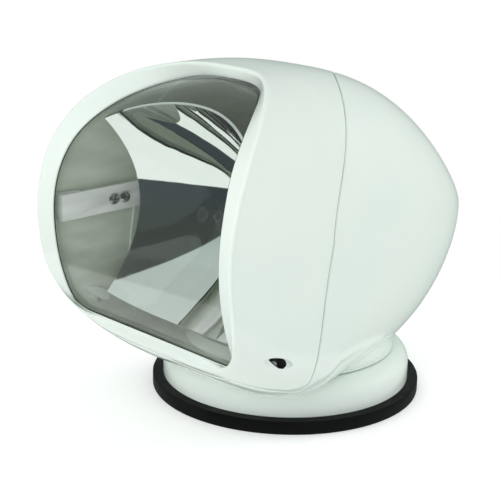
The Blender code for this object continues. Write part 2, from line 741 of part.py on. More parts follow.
def make_turntable(pan):
    hub_bore = SPINDLE_RADIUS + RUNNING_GAP
    turntable = turned("turntable",
                       [(HUB_RADIUS, HUB_TOP), (HUB_RADIUS, TURNTABLE_TOP),
                        (TURNTABLE_RADIUS, TURNTABLE_TOP), (TURNTABLE_RADIUS, TURNTABLE_BOTTOM),
                        (hub_bore, TURNTABLE_BOTTOM), (hub_bore, HUB_TOP)],
                       finish="grey_moulding", axis=pan)
    ring("pan_seal", SEAL_RADIUS, SEAL_RADIUS - SEAL_WIDTH, BASE_HEIGHT + GAP,
         TURNTABLE_BOTTOM - BASE_HEIGHT - 2 * GAP, finish="black_rubber", axis=pan, steps=INNER_STEPS)
    holes = []
    seat = TURNTABLE_TOP + GAP
    for i, (x, y) in enumerate(around(TURNTABLE_SCREW_CIRCLE, TURNTABLE_SCREW_COUNT, math.radians(45))):
        holes.append(cylinder(f"turntable_hole_{i}", SCREW_RADIUS + GAP,
                              (x, y, HEAD_FLOOR - CUT_MARGIN),
                              TURNTABLE_TOP - HEAD_FLOOR + 2 * CUT_MARGIN))
        turned(f"turntable_screw_{i + 1}",
               [(0, seat + SCREW_HEAD), (SCREW_HEAD_RADIUS, seat + SCREW_HEAD),
                (SCREW_HEAD_RADIUS, seat), (SCREW_RADIUS, seat),
                (SCREW_RADIUS, HEAD_FLOOR + GAP), (0, HEAD_FLOOR + GAP)],
               place=(x, y, 0), finish="stainless", axis=pan, steps=SCREW_STEPS, hollow=False)
    cut(turntable, *holes)
    return holes


def make_rear_housing(pan, screw_holes):
    edge = [(angle, seam_y(angle, 1)) for angle in section_angles(1)]
    rows = [[head_point(angle, blend(start, TAIL_Y, amount)) for angle, start in edge]
            for amount in REAR_ROWS]
    housing = lofted("rear_housing", rows, True, "white_gelcoat", pan, pole=(0, TAIL_Y, TAIL_Z))
    thicken(housing, SHELL_WALL)
    neck_top = HEAD_FLOOR + NECK_HEIGHT
    neck_profile = [(NECK_BORE, neck_top)]
    sweep = arc(1.0, math.radians(180), math.radians(270), 3, (1.0, 1.0))
    flare = NECK_RADIUS - NECK_BORE - SHELL_WALL
    neck_profile += [(NECK_BORE + SHELL_WALL + flare * u, HEAD_FLOOR + SHELL_WALL
                      + (NECK_HEIGHT - SHELL_WALL) * v) for u, v in sweep]
    neck_profile += [(NECK_RADIUS, HEAD_FLOOR), (NECK_BORE, HEAD_FLOOR)]
    join(housing, turned("neck_ring", neck_profile))
    low_z = EAR_SCREW_Z - TONGUE_HEIGHT / 2
    high_z = EAR_SCREW_Z + TONGUE_HEIGHT / 2
    front, rear = EAR_SCREW_Y - TONGUE_HEIGHT / 2, SEAM_Y + 2 * TONGUE_HEIGHT
    outer = side_surface_x(front, low_z) - 2 * SHELL_WALL
    inner = outer - TONGUE_THICKNESS
    root_outer = side_surface_x(rear, low_z) - GAP
    root = SEAM_Y + SHELL_WALL
    outline = [(inner, front), (outer, front), (outer, root), (root_outer, root), (root_outer, rear),
               (inner, rear)]
    for side in (1, -1):
        join(housing, flat_piece(f"tongue_{side}", [[(side * x, y) for x, y in outline]], low_z, high_z))
        cut(housing, side_cutter(f"tongue_hole_{side}", SCREW_RADIUS + GAP, side, EAR_SCREW_Y, EAR_SCREW_Z))
    cut(housing, cylinder("turntable_room", TURNTABLE_RADIUS + RUNNING_GAP,
                          (0, 0, TURNTABLE_BOTTOM - GAP), NECK_HEIGHT, steps=ROUND_STEPS),
        cylinder("floor_opening", FLOOR_OPENING, (0, 0, HEAD_FLOOR - CUT_MARGIN),
                 SHELL_WALL + 2 * CUT_MARGIN, steps=ROUND_STEPS), *screw_holes)


def side_cutter(name, radius, side, y, z, inner=ARM_OUTER, steps=SMALL_STEPS):
    """A cutter across one side of the head, from a distance off its middle to past its outside."""
    outer = HEAD_HALF_WIDTH + EAR_RECESS_DEPTH
    return cylinder(name, radius, (inner if side > 0 else -outer, y, z), outer - inner, "X", steps=steps)


def mirrored_box(name, low, high, side, **options):
    """A box on the +X side, or its mirror image on the -X side."""
    if side > 0:
        return box(f"{name}_right", low, high, **options)
    return box(f"{name}_left", (-high[0], low[1], low[2]), (-low[0], high[1], high[2]), **options)


def make_bezel(pan):
    angles = section_angles(-1)
    front = [front_edge(angle) for angle in angles]
    rows = [[opening_point(angle) for angle in angles], [rim_middle(angle) for angle in angles], front]
    for j in range(1, BEZEL_ROWS + 1):
        rows.append([head_point(angle, blend(start.y, seam_y(angle, -1), j / BEZEL_ROWS))
                     for angle, start in zip(angles, front)])
    bezel = lofted("front_bezel", rows, True, "white_gelcoat", pan)
    thicken(bezel, SHELL_WALL)
    for side, label in ((1, "right"), (-1, "left")):
        outside = side_surface_x(EAR_SCREW_Y, EAR_SCREW_Z)
        recess_floor = outside - EAR_RECESS_DEPTH
        cut(bezel, side_cutter(f"ear_recess_{label}", EAR_RECESS_RADIUS, side, EAR_SCREW_Y, EAR_SCREW_Z,
                               recess_floor),
            side_cutter(f"ear_hole_{label}", SCREW_RADIUS + GAP, side, EAR_SCREW_Y, EAR_SCREW_Z))
        head_inner = recess_floor + GAP
        profile = [(0, EAR_SCREW_HEAD), (SCREW_HEAD_RADIUS, EAR_SCREW_HEAD), (SCREW_HEAD_RADIUS, 0),
                   (SCREW_RADIUS, 0), (SCREW_RADIUS, -EAR_SCREW_LENGTH), (0, -EAR_SCREW_LENGTH)]
        if side < 0:
            profile = [(radius, -height) for radius, height in reversed(profile)]
        turned(f"bezel_screw_{label}", profile, place=(side * head_inner, EAR_SCREW_Y, EAR_SCREW_Z),
               direction="X", finish="stainless", axis=pan, steps=SCREW_STEPS, hollow=False)


def side_surface_x(y, z):
    """Half-width of the head's lower half at a station y and a height z."""
    low, high = math.radians(-89), 0.0
    for _ in range(40):
        middle = (low + high) / 2
        if head_point(middle, y).z < z:
            low = middle
        else:
            high = middle
    return head_point(low, y).x


def make_window(pan):
    seal_outer = SHELL_WALL + WINDOW_SEAT_GAP
    window_outer = seal_outer + WINDOW_SEAL + 2 * GAP
    loops = []
    for lap in (2 * GAP, WINDOW_LAP):
        loops.append([opening_point(angle, lap, seal_outer) for angle in SECTION_ANGLES])
    seal = lofted("window_seal", loops, True, "black_rubber", pan)
    thicken(seal, WINDOW_SEAL)
    rows = []
    for j in range(SECTION_STEPS // 2):
        angle = math.tau * (j + 0.5) / SECTION_STEPS - math.radians(90)
        edge = opening_point(angle, WINDOW_LAP, window_outer)
        rows.append([Vector((-edge.x, edge.y, edge.z)), edge])
    window = lofted("window_lens", rows, False, "clear_window", pan)
    thicken(window, WINDOW_THICKNESS)


def make_pivot_brackets(pan):
    wall = SHELL_INNER_HALF_WIDTH - BRACKET_WALL_GAP
    low_z, high_z = TILT_Z - BRACKET_HEIGHT / 2, TILT_Z + BRACKET_HEIGHT / 2
    for side, label in ((1, "right"), (-1, "left")):
        bracket = mirrored_box("pivot_bracket", (BRACKET_INNER, BRACKET_FRONT, low_z),
                               (BRACKET_OUTER, BRACKET_REAR, high_z), side, finish="grey_moulding", axis=pan)
        flange = mirrored_box("bracket_foot", (BRACKET_INNER, BRACKET_FRONT, low_z),
                              (wall, BRACKET_FRONT + BRACKET_HEIGHT, high_z), side)
        heel_outer = head_half_width(BRACKET_REAR) - SHELL_WALL - 3 * GAP
        rear = mirrored_box("bracket_heel", (BRACKET_INNER, BRACKET_REAR - BRACKET_THICKNESS, low_z),
                            (heel_outer, BRACKET_REAR, high_z), side)
        join(bracket, flange, rear)
        cut(bracket, side_cutter(f"bush_hole_{label}", BUSH_RADIUS + GAP, side, TILT_Y, TILT_Z,
                                 steps=BARREL_STEPS))
        reach = BRACKET_THICKNESS + BUSH_PROUD
        inner = BRACKET_INNER - GAP
        profile = [(BUSH_RADIUS, reach), (BUSH_RADIUS, 0), (BUSH_FLANGE_RADIUS, 0),
                   (BUSH_FLANGE_RADIUS, -BUSH_FLANGE), (PIN_RADIUS + GAP, -BUSH_FLANGE),
                   (PIN_RADIUS + GAP, reach)]
        screw = [(0, SCREW_HEAD), (SCREW_HEAD_RADIUS, SCREW_HEAD), (SCREW_HEAD_RADIUS, 0),
                 (SCREW_RADIUS, 0), (SCREW_RADIUS, -BRACKET_SCREW_LENGTH), (0, -BRACKET_SCREW_LENGTH)]
        if side < 0:
            profile = [(radius, -height) for radius, height in reversed(profile)]
        else:
            screw = [(radius, -height) for radius, height in reversed(screw)]
        turned(f"pivot_bush_{label}", profile, place=(side * inner, TILT_Y, TILT_Z), direction="X",
               finish="nylon", axis=pan, steps=BARREL_STEPS)
        for i, ahead in enumerate(BRACKET_SCREW_AHEAD):
            y = TILT_Y - ahead
            cut(bracket, side_cutter(f"bracket_hole_{label}_{i}", SCREW_RADIUS + GAP, side, y, TILT_Z))
            turned(f"bracket_screw_{label}_{i + 1}", screw, place=(side * inner, y, TILT_Z),
                   direction="X", finish="stainless", axis=pan, steps=SCREW_STEPS, hollow=False)


def make_pan_drive(pan):
    plate_low = SUN_TOP + PINION_TO_PLATE
    plate_high = plate_low + SHEET
    front = PAN_PINION_Y - GEARBOX_RADIUS - CUT_MARGIN
    riser = PAN_PINION_Y + GEARBOX_RADIUS + CUT_MARGIN
    foot_end = riser + PAN_FOOT
    outline = [(front, plate_low), (riser, plate_low), (riser, SHEET_BOTTOM), (foot_end, SHEET_BOTTOM),
               (foot_end, SHEET_BOTTOM + SHEET), (riser + SHEET, SHEET_BOTTOM + SHEET),
               (riser + SHEET, plate_high), (front, plate_high)]
    bracket = flat_piece("pan_motor_bracket", [outline], -PAN_BRACKET_HALF_WIDTH, PAN_BRACKET_HALF_WIDTH,
                         "X", "zinc_sheet", pan)
    cut(bracket, cylinder("pan_shaft_hole", SHAFT_RADIUS + CUT_MARGIN,
                          (0, PAN_PINION_Y, plate_low - CUT_MARGIN), SHEET + 2 * CUT_MARGIN))
    box_bottom = plate_high + GAP
    gearbox = cylinder("pan_gearbox", GEARBOX_RADIUS, (0, PAN_PINION_Y, box_bottom), GEARBOX_LENGTH,
                       finish="zinc_sheet", axis=pan, steps=BARREL_STEPS)
    cut(gearbox, cylinder("pan_gearbox_hole", SHAFT_RADIUS + GAP,
                          (0, PAN_PINION_Y, box_bottom - CUT_MARGIN), CUT_MARGIN + SHAFT_SEAT + GAP))
    motor_bottom = box_bottom + GEARBOX_LENGTH + GAP
    turned("pan_motor", motor_profile(PAN_MOTOR_RADIUS, motor_bottom, PAN_MOTOR_LENGTH),
           place=(0, PAN_PINION_Y, 0), finish="zinc_sheet", axis=pan, steps=BARREL_STEPS, hollow=False)
    return box_bottom + SHAFT_SEAT


def motor_profile(radius, bottom, length):
    """A motor can with a rounded crimp and a rear bearing boss."""
    top = bottom + length
    boss = radius / 3
    return [(0, top + MOTOR_BOSS), (boss, top + MOTOR_BOSS), (boss, top), (radius - MOTOR_CRIMP, top),
            (radius, top - MOTOR_CRIMP), (radius, bottom), (0, bottom)]


def angle_sheet(name, upright_x, foot_end, top, front, rear, axis):
    """Folded sheet on the turntable: an upright whose outer face is at upright_x, and its foot."""
    inward = math.copysign(SHEET, foot_end - upright_x)
    outline = [(upright_x, SHEET_BOTTOM), (foot_end, SHEET_BOTTOM), (foot_end, SHEET_BOTTOM + SHEET),
               (upright_x + inward, SHEET_BOTTOM + SHEET), (upright_x + inward, top), (upright_x, top)]
    return flat_piece(name, [outline], -rear, -front, "Y", "zinc_sheet", axis)


def make_tilt_drive(pan):
    plate_high = TILT_PLATE_X
    plate_low = plate_high - SHEET
    half = GEARBOX_RADIUS + SHEET
    front, rear = TILT_PINION_Y - half, TILT_PINION_Y + half
    top = TILT_Z + half
    foot_end = plate_high + TILT_FOOT
    upright = angle_sheet("tilt_motor_bracket", plate_low, foot_end, top, front, rear, pan)
    rail = 3 * SHEET
    cut(upright, box("tilt_bracket_window", (plate_low - CUT_MARGIN, front + rail, SHEET_BOTTOM + 3 * rail),
                     (plate_high + CUT_MARGIN, rear - rail, TILT_Z - half - rail / 2)),
        cylinder("tilt_shaft_hole", SHAFT_RADIUS + CUT_MARGIN,
                 (plate_low - CUT_MARGIN, TILT_PINION_Y, TILT_Z), SHEET + 2 * CUT_MARGIN, "X"))
    box_start = plate_high + GAP
    gearbox = cylinder("tilt_gearbox", GEARBOX_RADIUS, (box_start, TILT_PINION_Y, TILT_Z), GEARBOX_LENGTH,
                       "X", "zinc_sheet", pan, steps=BARREL_STEPS)
    cut(gearbox, cylinder("tilt_gearbox_hole", SHAFT_RADIUS + GAP,
                          (box_start - CUT_MARGIN, TILT_PINION_Y, TILT_Z),
                          CUT_MARGIN + SHAFT_SEAT + GAP, "X"))
    turned("tilt_motor", motor_profile(TILT_MOTOR_RADIUS, 0.0, TILT_MOTOR_LENGTH),
           place=(box_start + GEARBOX_LENGTH + GAP, TILT_PINION_Y, TILT_Z), direction="X",
           finish="zinc_sheet", axis=pan, steps=BARREL_STEPS, hollow=False)
    return plate_low, box_start + SHAFT_SEAT


def make_board(pan):
    half_y, half_z = BOARD_SIZE[0] / 2, BOARD_SIZE[1] / 2
    centre_y, centre_z = BOARD_Y, HEAD_FLOOR + BOARD_HEIGHT
    board_back = BOARD_X + BOARD_THICKNESS
    board = box("control_board", (BOARD_X, centre_y - half_y, centre_z - half_z),
                (board_back, centre_y + half_y, centre_z + half_z), "board_green", pan)
    stand_front = board_back + BOARD_STAND_OFF
    angle_sheet("board_bracket", stand_front + SHEET, BOARD_X - BOARD_FOOT,
                centre_z + half_z - BOARD_EDGE / 2, centre_y - half_y + BOARD_EDGE / 2,
                centre_y + half_y - BOARD_EDGE, pan)
    corners = ((centre_y - half_y + BOARD_EDGE, centre_z + half_z - BOARD_EDGE),
               (centre_y + half_y - 2 * BOARD_EDGE, centre_z - half_z + BOARD_EDGE))
    reach = stand_front - BOARD_X - GAP
    profile = [(0, reach), (SCREW_RADIUS, reach), (SCREW_RADIUS, -GAP),
               (SCREW_HEAD_RADIUS, -GAP), (SCREW_HEAD_RADIUS, -GAP - SCREW_HEAD),
               (0, -GAP - SCREW_HEAD)]
    for number, (y, z) in enumerate(corners, 1):
        cut(board, cylinder(f"board_hole_{number}", SCREW_RADIUS + GAP, (BOARD_X - CUT_MARGIN, y, z),
                            BOARD_THICKNESS + 2 * CUT_MARGIN, "X"))
        turned(f"board_screw_{number}", profile, place=(BOARD_X, y, z), direction="X",
               finish="stainless", axis=pan, steps=SCREW_STEPS, hollow=False)
    face = BOARD_X - GAP
    for number, offset in enumerate(RELAY_OFFSETS, 1):
        board_item(f"relay_{number}", RELAY_SIZE, face, centre_y + offset, centre_z + CUT_MARGIN,
                   "black_moulding", pan)
    receiver_z = centre_z - CUT_MARGIN - RECEIVER_SIZE[2]
    board_item("radio_receiver", RECEIVER_SIZE, face, centre_y + RECEIVER_OFFSET, receiver_z, "stainless", pan)
    connector_z = centre_z - CUT_MARGIN - CONNECTOR_SIZE[2]
    board_item("board_connector", CONNECTOR_SIZE, face, centre_y + CONNECTOR_OFFSET, connector_z, "nylon", pan)


def board_item(name, size, face, middle_y, bottom, finish, axis):
    """A component on the board's face, with softened edges."""
    depth, width, height = size
    box(name, (face - depth, middle_y - width / 2, bottom), (face, middle_y + width / 2, bottom + height),
        finish, axis, bevel=0.0005)


# Lamp assembly, on the tilt axis

def reflector_depth(x):
    """Depth of the reflector's rim behind its vertex, where the clearance cylinder trims it."""
    span = 4 * FOCAL_LENGTH
    half_sum = (span - 2 * VERTEX_SETBACK) / 2
    rest = VERTEX_SETBACK ** 2 - x ** 2 - REFLECTOR_REACH ** 2
    return -half_sum + math.sqrt(half_sum ** 2 - rest)


def make_reflector(tilt):
    rows = []
    for j in range(REFLECTOR_STEPS + 1):
        row = []
        for i in range(REFLECTOR_STEPS + 1):
            x = REFLECTOR_HALF_WIDTH * (2 * i / REFLECTOR_STEPS - 1)
            rim = math.sqrt(4 * FOCAL_LENGTH * reflector_depth(x) - x ** 2)
            z = rim * (2 * j / REFLECTOR_STEPS - 1)
            row.append(Vector((x, VERTEX_Y - (x ** 2 + z ** 2) / (4 * FOCAL_LENGTH), TILT_Z + z)))
        rows.append(row)
    reflector = lofted("reflector", rows, False, "mirror", tilt)
    thicken(reflector, REFLECTOR_WALL)
    neck_rear = FRAME_FRONT - GAP
    neck_front = VERTEX_Y - REFLECTOR_WALL / 3
    neck = turned("reflector_neck",
                  [(NECK_TUBE_RADIUS, neck_rear), (NECK_TUBE_RADIUS, neck_front),
                   (LAMP_HOLE, neck_front), (LAMP_HOLE, neck_rear)],
                  place=(0, 0, TILT_Z), direction="Y", steps=BARREL_STEPS)
    join(reflector, neck)
    hole_front = VERTEX_Y - 4 * REFLECTOR_WALL
    cut(reflector, cylinder("lamp_hole", LAMP_HOLE, (0, hole_front, TILT_Z), FRAME_FRONT - hole_front, "Y",
                            steps=BARREL_STEPS))


def make_tilt_frame(tilt):
    reach = TILT_Y - PIN_HEAD_RADIUS - FRAME_THICKNESS
    outline = [(-ARM_OUTER, reach), (-ARM_INNER, reach), (-ARM_INNER, FRAME_FRONT),
               (ARM_INNER, FRAME_FRONT), (ARM_INNER, reach), (ARM_OUTER, reach),
               (ARM_OUTER, FRAME_REAR), (-ARM_OUTER, FRAME_REAR)]
    frame = flat_piece("tilt_frame", [outline], TILT_Z - FRAME_HEIGHT / 2, TILT_Z + FRAME_HEIGHT / 2,
                       "Z", "zinc_sheet", tilt)
    cut(frame, cylinder("holder_hole", HOLDER_RADIUS + GAP, (0, FRAME_FRONT - CUT_MARGIN, TILT_Z),
                        FRAME_THICKNESS + 2 * CUT_MARGIN, "Y", steps=BARREL_STEPS))
    for side, label in ((1, "right"), (-1, "left")):
        cut(frame, side_cutter(f"arm_hole_{label}", PIN_RADIUS + GAP, side, TILT_Y, TILT_Z,
                               ARM_INNER - CUT_MARGIN))
        tip = BRACKET_OUTER + PIN_PROUD
        inner = ARM_INNER - GAP
        profile = [(0, tip), (PIN_RADIUS, tip), (PIN_RADIUS, inner), (PIN_HEAD_RADIUS, inner),
                   (PIN_HEAD_RADIUS, inner - PIN_HEAD), (0, inner - PIN_HEAD)]
        if side < 0:
            profile = [(radius, -x) for radius, x in reversed(profile)]
        turned(f"pivot_pin_{label}", profile, place=(0, TILT_Y, TILT_Z), direction="X",
               finish="stainless", axis=tilt, steps=BARREL_STEPS, hollow=False)


def make_lamp(tilt):
    holder_front = VERTEX_Y - HOLDER_PROUD
    flange_front = FRAME_REAR + GAP
    flange_rear = flange_front + HOLDER_FLANGE
    holder_rear = flange_rear + HOLDER_TAIL
    holder = turned("bulb_holder",
                    [(0, holder_rear), (HOLDER_TAIL_RADIUS, holder_rear),
                     (HOLDER_TAIL_RADIUS, flange_rear), (HOLDER_FLANGE_RADIUS, flange_rear),
                     (HOLDER_FLANGE_RADIUS, flange_front), (HOLDER_RADIUS, flange_front),
                     (HOLDER_RADIUS, holder_front), (0, holder_front)],
                    place=(0, 0, TILT_Z), direction="Y", finish="ceramic", axis=tilt,
                    steps=BARREL_STEPS, hollow=False)
    cut(holder, cylinder("bulb_socket", BULB_RADIUS + GAP, (0, holder_front - CUT_MARGIN, TILT_Z),
                         SOCKET_DEPTH + CUT_MARGIN, "Y"))
    bulb_rear = holder_front + SOCKET_DEPTH - GAP
    bulb_front = bulb_rear - BULB_LENGTH
    dome = arc(BULB_RADIUS, 0.0, math.radians(-90), 4, (0.0, bulb_front + BULB_RADIUS))
    dome[-1] = (0.0, bulb_front)
    turned("halogen_bulb", [(0, bulb_rear), (BULB_RADIUS, bulb_rear), *dome],
           place=(0, 0, TILT_Z), direction="Y", finish="clear_window", axis=tilt, steps=SMALL_STEPS,
           hollow=False)
    clip_front = flange_rear + GAP
    reach, waist, half_height, half_tab = CLIP_HALF_SIZES
    quarter = [(waist, half_height), (waist, half_tab), (reach, half_tab)]
    right = quarter + [(x, -z) for x, z in reversed(quarter)]
    outline = right + [(-x, -z) for x, z in right]
    flat_piece("bulb_clip",
               [[(x, TILT_Z + z) for x, z in outline],
                circle(HOLDER_TAIL_RADIUS + RUNNING_GAP, (0, TILT_Z), BARREL_STEPS)],
               -clip_front - CLIP_THICKNESS, -clip_front, "Y", "stainless", tilt)


def make_sector(tilt, plate_low):
    high = plate_low - SECTOR_TO_PLATE
    low = high - GEAR_WIDTH
    teeth = int(SECTOR_SPAN / (math.tau / SECTOR_TEETH))
    first = -(teeth // 2)
    turn = tooth_gap_turn(SECTOR_TEETH, 0.0)
    outer = tooth_points(SECTOR_TEETH, turn, first, teeth)
    inner_radius = SECTOR_PITCH - SECTOR_RIM
    inner = arc(inner_radius, SECTOR_SPAN / 2, -SECTOR_SPAN / 2, 12)
    outline = [(TILT_Y + u, TILT_Z + v) for u, v in outer + inner]
    sector = flat_piece("tilt_sector_gear", [outline], low, high, "X", "nylon", tilt)
    foot_front = FRAME_REAR + GAP
    bottom = TILT_Z - FRAME_HEIGHT / 2 + CUT_MARGIN
    top = TILT_Z + FRAME_HEIGHT / 2 - CUT_MARGIN
    web = box("sector_web", (low + SECTOR_WEB_INSET, foot_front, bottom),
              (high - SECTOR_WEB_INSET, TILT_Y + inner_radius + SECTOR_RIM / 2, top))
    foot = box("sector_foot", (low, foot_front, bottom),
               (high + SECTOR_FOOT, foot_front + FRAME_THICKNESS, top))
    join(sector, web, foot)
    return low, high


def pinion_on_shaft(name, centre, low, high, shaft_low, shaft_high, direction, axis, turn):
    pinion = gear(name, PINION_TEETH, low, high, direction, centre, 0.0, "brass", axis, turn)
    if direction == "Z":
        start = (centre[0], centre[1], shaft_low)
    else:
        start = (shaft_low, centre[0], centre[1])
    join(pinion, cylinder(name + "_shaft", SHAFT_RADIUS, start, shaft_high - shaft_low, direction))


def build():
    make_base()
    pan = make_axis("pan_axis", (0, 0, 0))
    tilt = make_axis("tilt_axis", (0, TILT_Y, TILT_Z))
    tilt.parent = pan
    pan_pinion = make_axis("pan_pinion_axis", (0, PAN_PINION_Y, 0))
    pan_pinion.parent = pan
    tilt_pinion = make_axis("tilt_pinion_axis", (0, TILT_PINION_Y, TILT_Z))
    tilt_pinion.parent = pan
    screw_holes = make_turntable(pan)
    make_rear_housing(pan, screw_holes)
    make_bezel(pan)
    make_window(pan)
    make_pivot_brackets(pan)
    pan_shaft_end = make_pan_drive(pan)
    plate_low, tilt_shaft_end = make_tilt_drive(pan)
    make_board(pan)
    make_reflector(tilt)
    make_tilt_frame(tilt)
    make_lamp(tilt)
    sector_low, sector_high = make_sector(tilt, plate_low)
    pinion_on_shaft("pan_pinion", (0, PAN_PINION_Y), SUN_BOTTOM, SUN_TOP, SUN_BOTTOM - CUT_MARGIN,
                    pan_shaft_end, "Z", pan_pinion, math.radians(-90))
    pinion_on_shaft("tilt_pinion", (TILT_PINION_Y, TILT_Z), sector_low - GAP, sector_high,
                    sector_low - CUT_MARGIN, tilt_shaft_end, "X", tilt_pinion, math.radians(180))


build()
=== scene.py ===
"""Marine searchlight: finished surfaces, materials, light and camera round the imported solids.

Metres, +Z up. The beam leaves towards -Y, and the origin is where the pan axis meets the deck.
"""

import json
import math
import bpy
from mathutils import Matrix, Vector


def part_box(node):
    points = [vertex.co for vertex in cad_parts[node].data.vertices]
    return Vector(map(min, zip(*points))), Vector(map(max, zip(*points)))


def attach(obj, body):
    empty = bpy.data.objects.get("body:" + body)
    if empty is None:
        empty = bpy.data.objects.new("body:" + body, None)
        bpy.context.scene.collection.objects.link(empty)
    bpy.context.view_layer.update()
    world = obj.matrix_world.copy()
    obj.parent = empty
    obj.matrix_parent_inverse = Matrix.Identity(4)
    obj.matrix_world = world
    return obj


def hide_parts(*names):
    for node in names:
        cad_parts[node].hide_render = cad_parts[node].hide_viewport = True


bl_info = {
    "name": "Marine Searchlight",
    "version": (1, 0, 0),
    "blender": (4, 5, 0),
    "location": "3D View > Sidebar > Searchlight",
    "description": "Builds the finished pieces of a remote-controlled marine searchlight",
    "category": "Object",
}

from contextlib import contextmanager

import bmesh
import bpy
import numpy as np
from bpy.props import FloatProperty, FloatVectorProperty, IntProperty, PointerProperty
from mathutils import Matrix, Vector

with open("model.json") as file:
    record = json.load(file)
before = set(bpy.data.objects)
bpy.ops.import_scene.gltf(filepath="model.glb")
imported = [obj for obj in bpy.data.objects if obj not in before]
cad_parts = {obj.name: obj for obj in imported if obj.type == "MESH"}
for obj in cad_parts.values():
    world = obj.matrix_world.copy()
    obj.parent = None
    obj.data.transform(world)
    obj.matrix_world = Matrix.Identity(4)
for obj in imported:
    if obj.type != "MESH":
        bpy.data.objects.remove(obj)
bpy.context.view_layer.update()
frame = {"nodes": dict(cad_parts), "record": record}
NODES = frame["nodes"]
SIDES = (("right", 1), ("left", -1))

# Form of the head, in metres. The curved front takes FRONT_SHARE of the height that it could have
TILT_Y = -0.0443
TILT_Z = 0.1271
FRONT_RADIUS = 0.0939
FRONT_DROP = 0.118
FRONT_SHARE = 0.99
HEAD_HALF_WIDTH = 0.090
TAIL_Y = 0.1465
TAIL_Z = 0.1086
HEAD_FLOOR = 0.0306
FLOOR_PROUD = 0.0004
FLOOR_BLEND = 0.0012
HEAD_BELLY = 0.020
NOSE_BOTTOM = 0.0506
NOSE_DEPTH = 0.0715
NOSE_POWER = 2.2
TOP_POWERS = (3.3, 2.0)
BOTTOM_POWERS = (5.0, 2.04)
BOTTOM_FADE = 0.6
ROOF_CURVE = (2.24, 1.1)
BELLY_CURVE = (4.0, 1.36)
SIDE_CURVE = (1.27, 2.77)
SHELL_WALL = 0.0025

# Inside of the rear housing: a flange under the bezel, and the wall behind it
FLANGE_DEPTH = SHELL_WALL + 0.0004
FLANGE_WALL = 0.0016
FLANGE_REACH = 0.004
TAIL_WALL = 0.0045
LAST_INNER_ROW = 0.94

# Collar under the head
NECK_RADIUS = 0.072
NECK_BORE = 0.064
COLLAR_RISE = 0.0135
COLLAR_EDGE = 0.0004

# Screw pocket in each side panel, as (y, z), and the shallow hollow that leads into it
PANEL_X = 0.0866
POCKET_MIDDLE = (-0.0935, 0.0625)
POCKET_OUTLINE = (
    (-0.1030, 0.0668), (-0.1000, 0.0672), (-0.0960, 0.0664), (-0.0920, 0.0652), (-0.0890, 0.0628),
    (-0.0878, 0.0605), (-0.0884, 0.0589), (-0.0910, 0.0580), (-0.0942, 0.0590), (-0.0972, 0.0612),
    (-0.1016, 0.0652))
POCKET_RADIUS = 0.0045
POCKET_DEPTH = 0.0062
POCKET_WALL = 0.0016
SCOOP_MIDDLE = (-0.0955, 0.0631)
SCOOP_SIZE = (0.0014, 0.0125, 0.0048)
SCOOP_SLANT = math.radians(-17)

# Joint between bezel and rear housing
SEAM_Y = -0.055
SEAM_CREST_Y = 0.045
SEAM_LEAN = 0.0085
SEAM_GAP_ANGLE = math.radians(0.18)
LOBE_RADIUS = 0.009
LOBE_START = math.radians(42)
LOBE_END = math.radians(46)
LIP_SWEEP = math.radians(10)
LIP_Y = TILT_Y - NOSE_DEPTH + 0.0045

# Steps round a section, in degrees: everywhere, and first, end and step of the closer ones
SECTION_STEP = 1.5
CLOSE_DIPS = (36.75, 42.0, 0.75)

# Window opening: its edge is set back, and most at the upper corners, where the rim slants inwards
OPENING_HALF_WIDTH = 0.0765
OPENING_TOP = 0.0874
OPENING_BOTTOM = 0.0675
OPENING_POWERS = (2.7, 16.0)
RIM_DEPTH = 0.0034
CORNER_DEPTH = 0.0087
TOP_DEPTH = 0.0070
DEPTH_BLEND = 0.0013
OPENING_SWING = math.radians(84)
CORNER_TURN = math.radians(62)
CORNER_SPREAD = math.radians(33)
LIP_WALL = 0.0008
WINDOW_SWING = math.radians(87.5)
WINDOW_LAP = 0.0040
WINDOW_THICKNESS = 0.0016
WINDOW_DEPTH = 0.0049
WINDOW_BOW = 2.5
SEAL_GAP = 0.0003
SEAL_LAPS = (-0.0006, 0.002)

# Base
SHOULDER = 0.011
SKIRT_WALL = 0.003
SKIRT_EDGE = 0.0010
SPINDLE_HOLE = 0.0183
PLATE_GAP = 0.003
GASKET_FIT = 0.0003
GASKET_EDGES = (0.0006, 0.0012, 0.0003, 0.0003)

# Lamp
FOCAL_LENGTH = 0.029
VERTEX_SETBACK = 0.0053
REFLECTOR_HALF_WIDTH = 0.064
REFLECTOR_REACH = 0.0815
REFLECTOR_WALL = 0.0016
LAMP_HOLE = 0.0125
HOLE_ENDS = (-0.01, 0.03)
LAMP_NECK = 0.0155
NECK_ENDS = (0.0012, 0.0117)
VERTEX_Y = TILT_Y + VERTEX_SETBACK

# Screws that show: the head's radius and height, and its depth in from the end of the node
PANEL_SCREW = (0.0030, 0.0016, 0.0052)
ARM_SCREW = (0.0037, 0.0022, 0.0022)
BASE_SCREW = (0.0037, 0.0020, 0.0022)

# Where the floor turns from its own colour to white for the camera
FLOOR_FADE = (0.16, 0.34)

# Camera, with its turns in degrees
CAMERA_TURNS = (45.57, 16.73, 1.14)
CAMERA_TARGET = (-0.03636, 0.0, 0.08442)
CAMERA_DISTANCE = 0.90111
CAMERA_LENS = 94.62


# Form of the head, as arrays over the angle round a section and the station y along it

def rounded(angle, power):
    """Points of a unit superellipse in the directions of the angles."""
    across, up = np.cos(angle), np.sin(angle)
    reach = (np.abs(across) ** power + np.abs(up) ** power) ** (-1.0 / power)
    return reach * across, reach * up


def share(value, start, end):
    """How far a value is on its way from start to end, from 0 to 1."""
    return np.clip((value - start) / (end - start), 0.0, 1.0)


def between(start, end, amount):
    """The value at an amount of the way from start to end."""
    return start + (end - start) * amount


def swell(amount, curve):
    """Falls from 1 to 0 as the amount goes from 0 to 1."""
    return np.maximum(1.0 - amount ** curve[0], 0.0) ** (1.0 / curve[1])


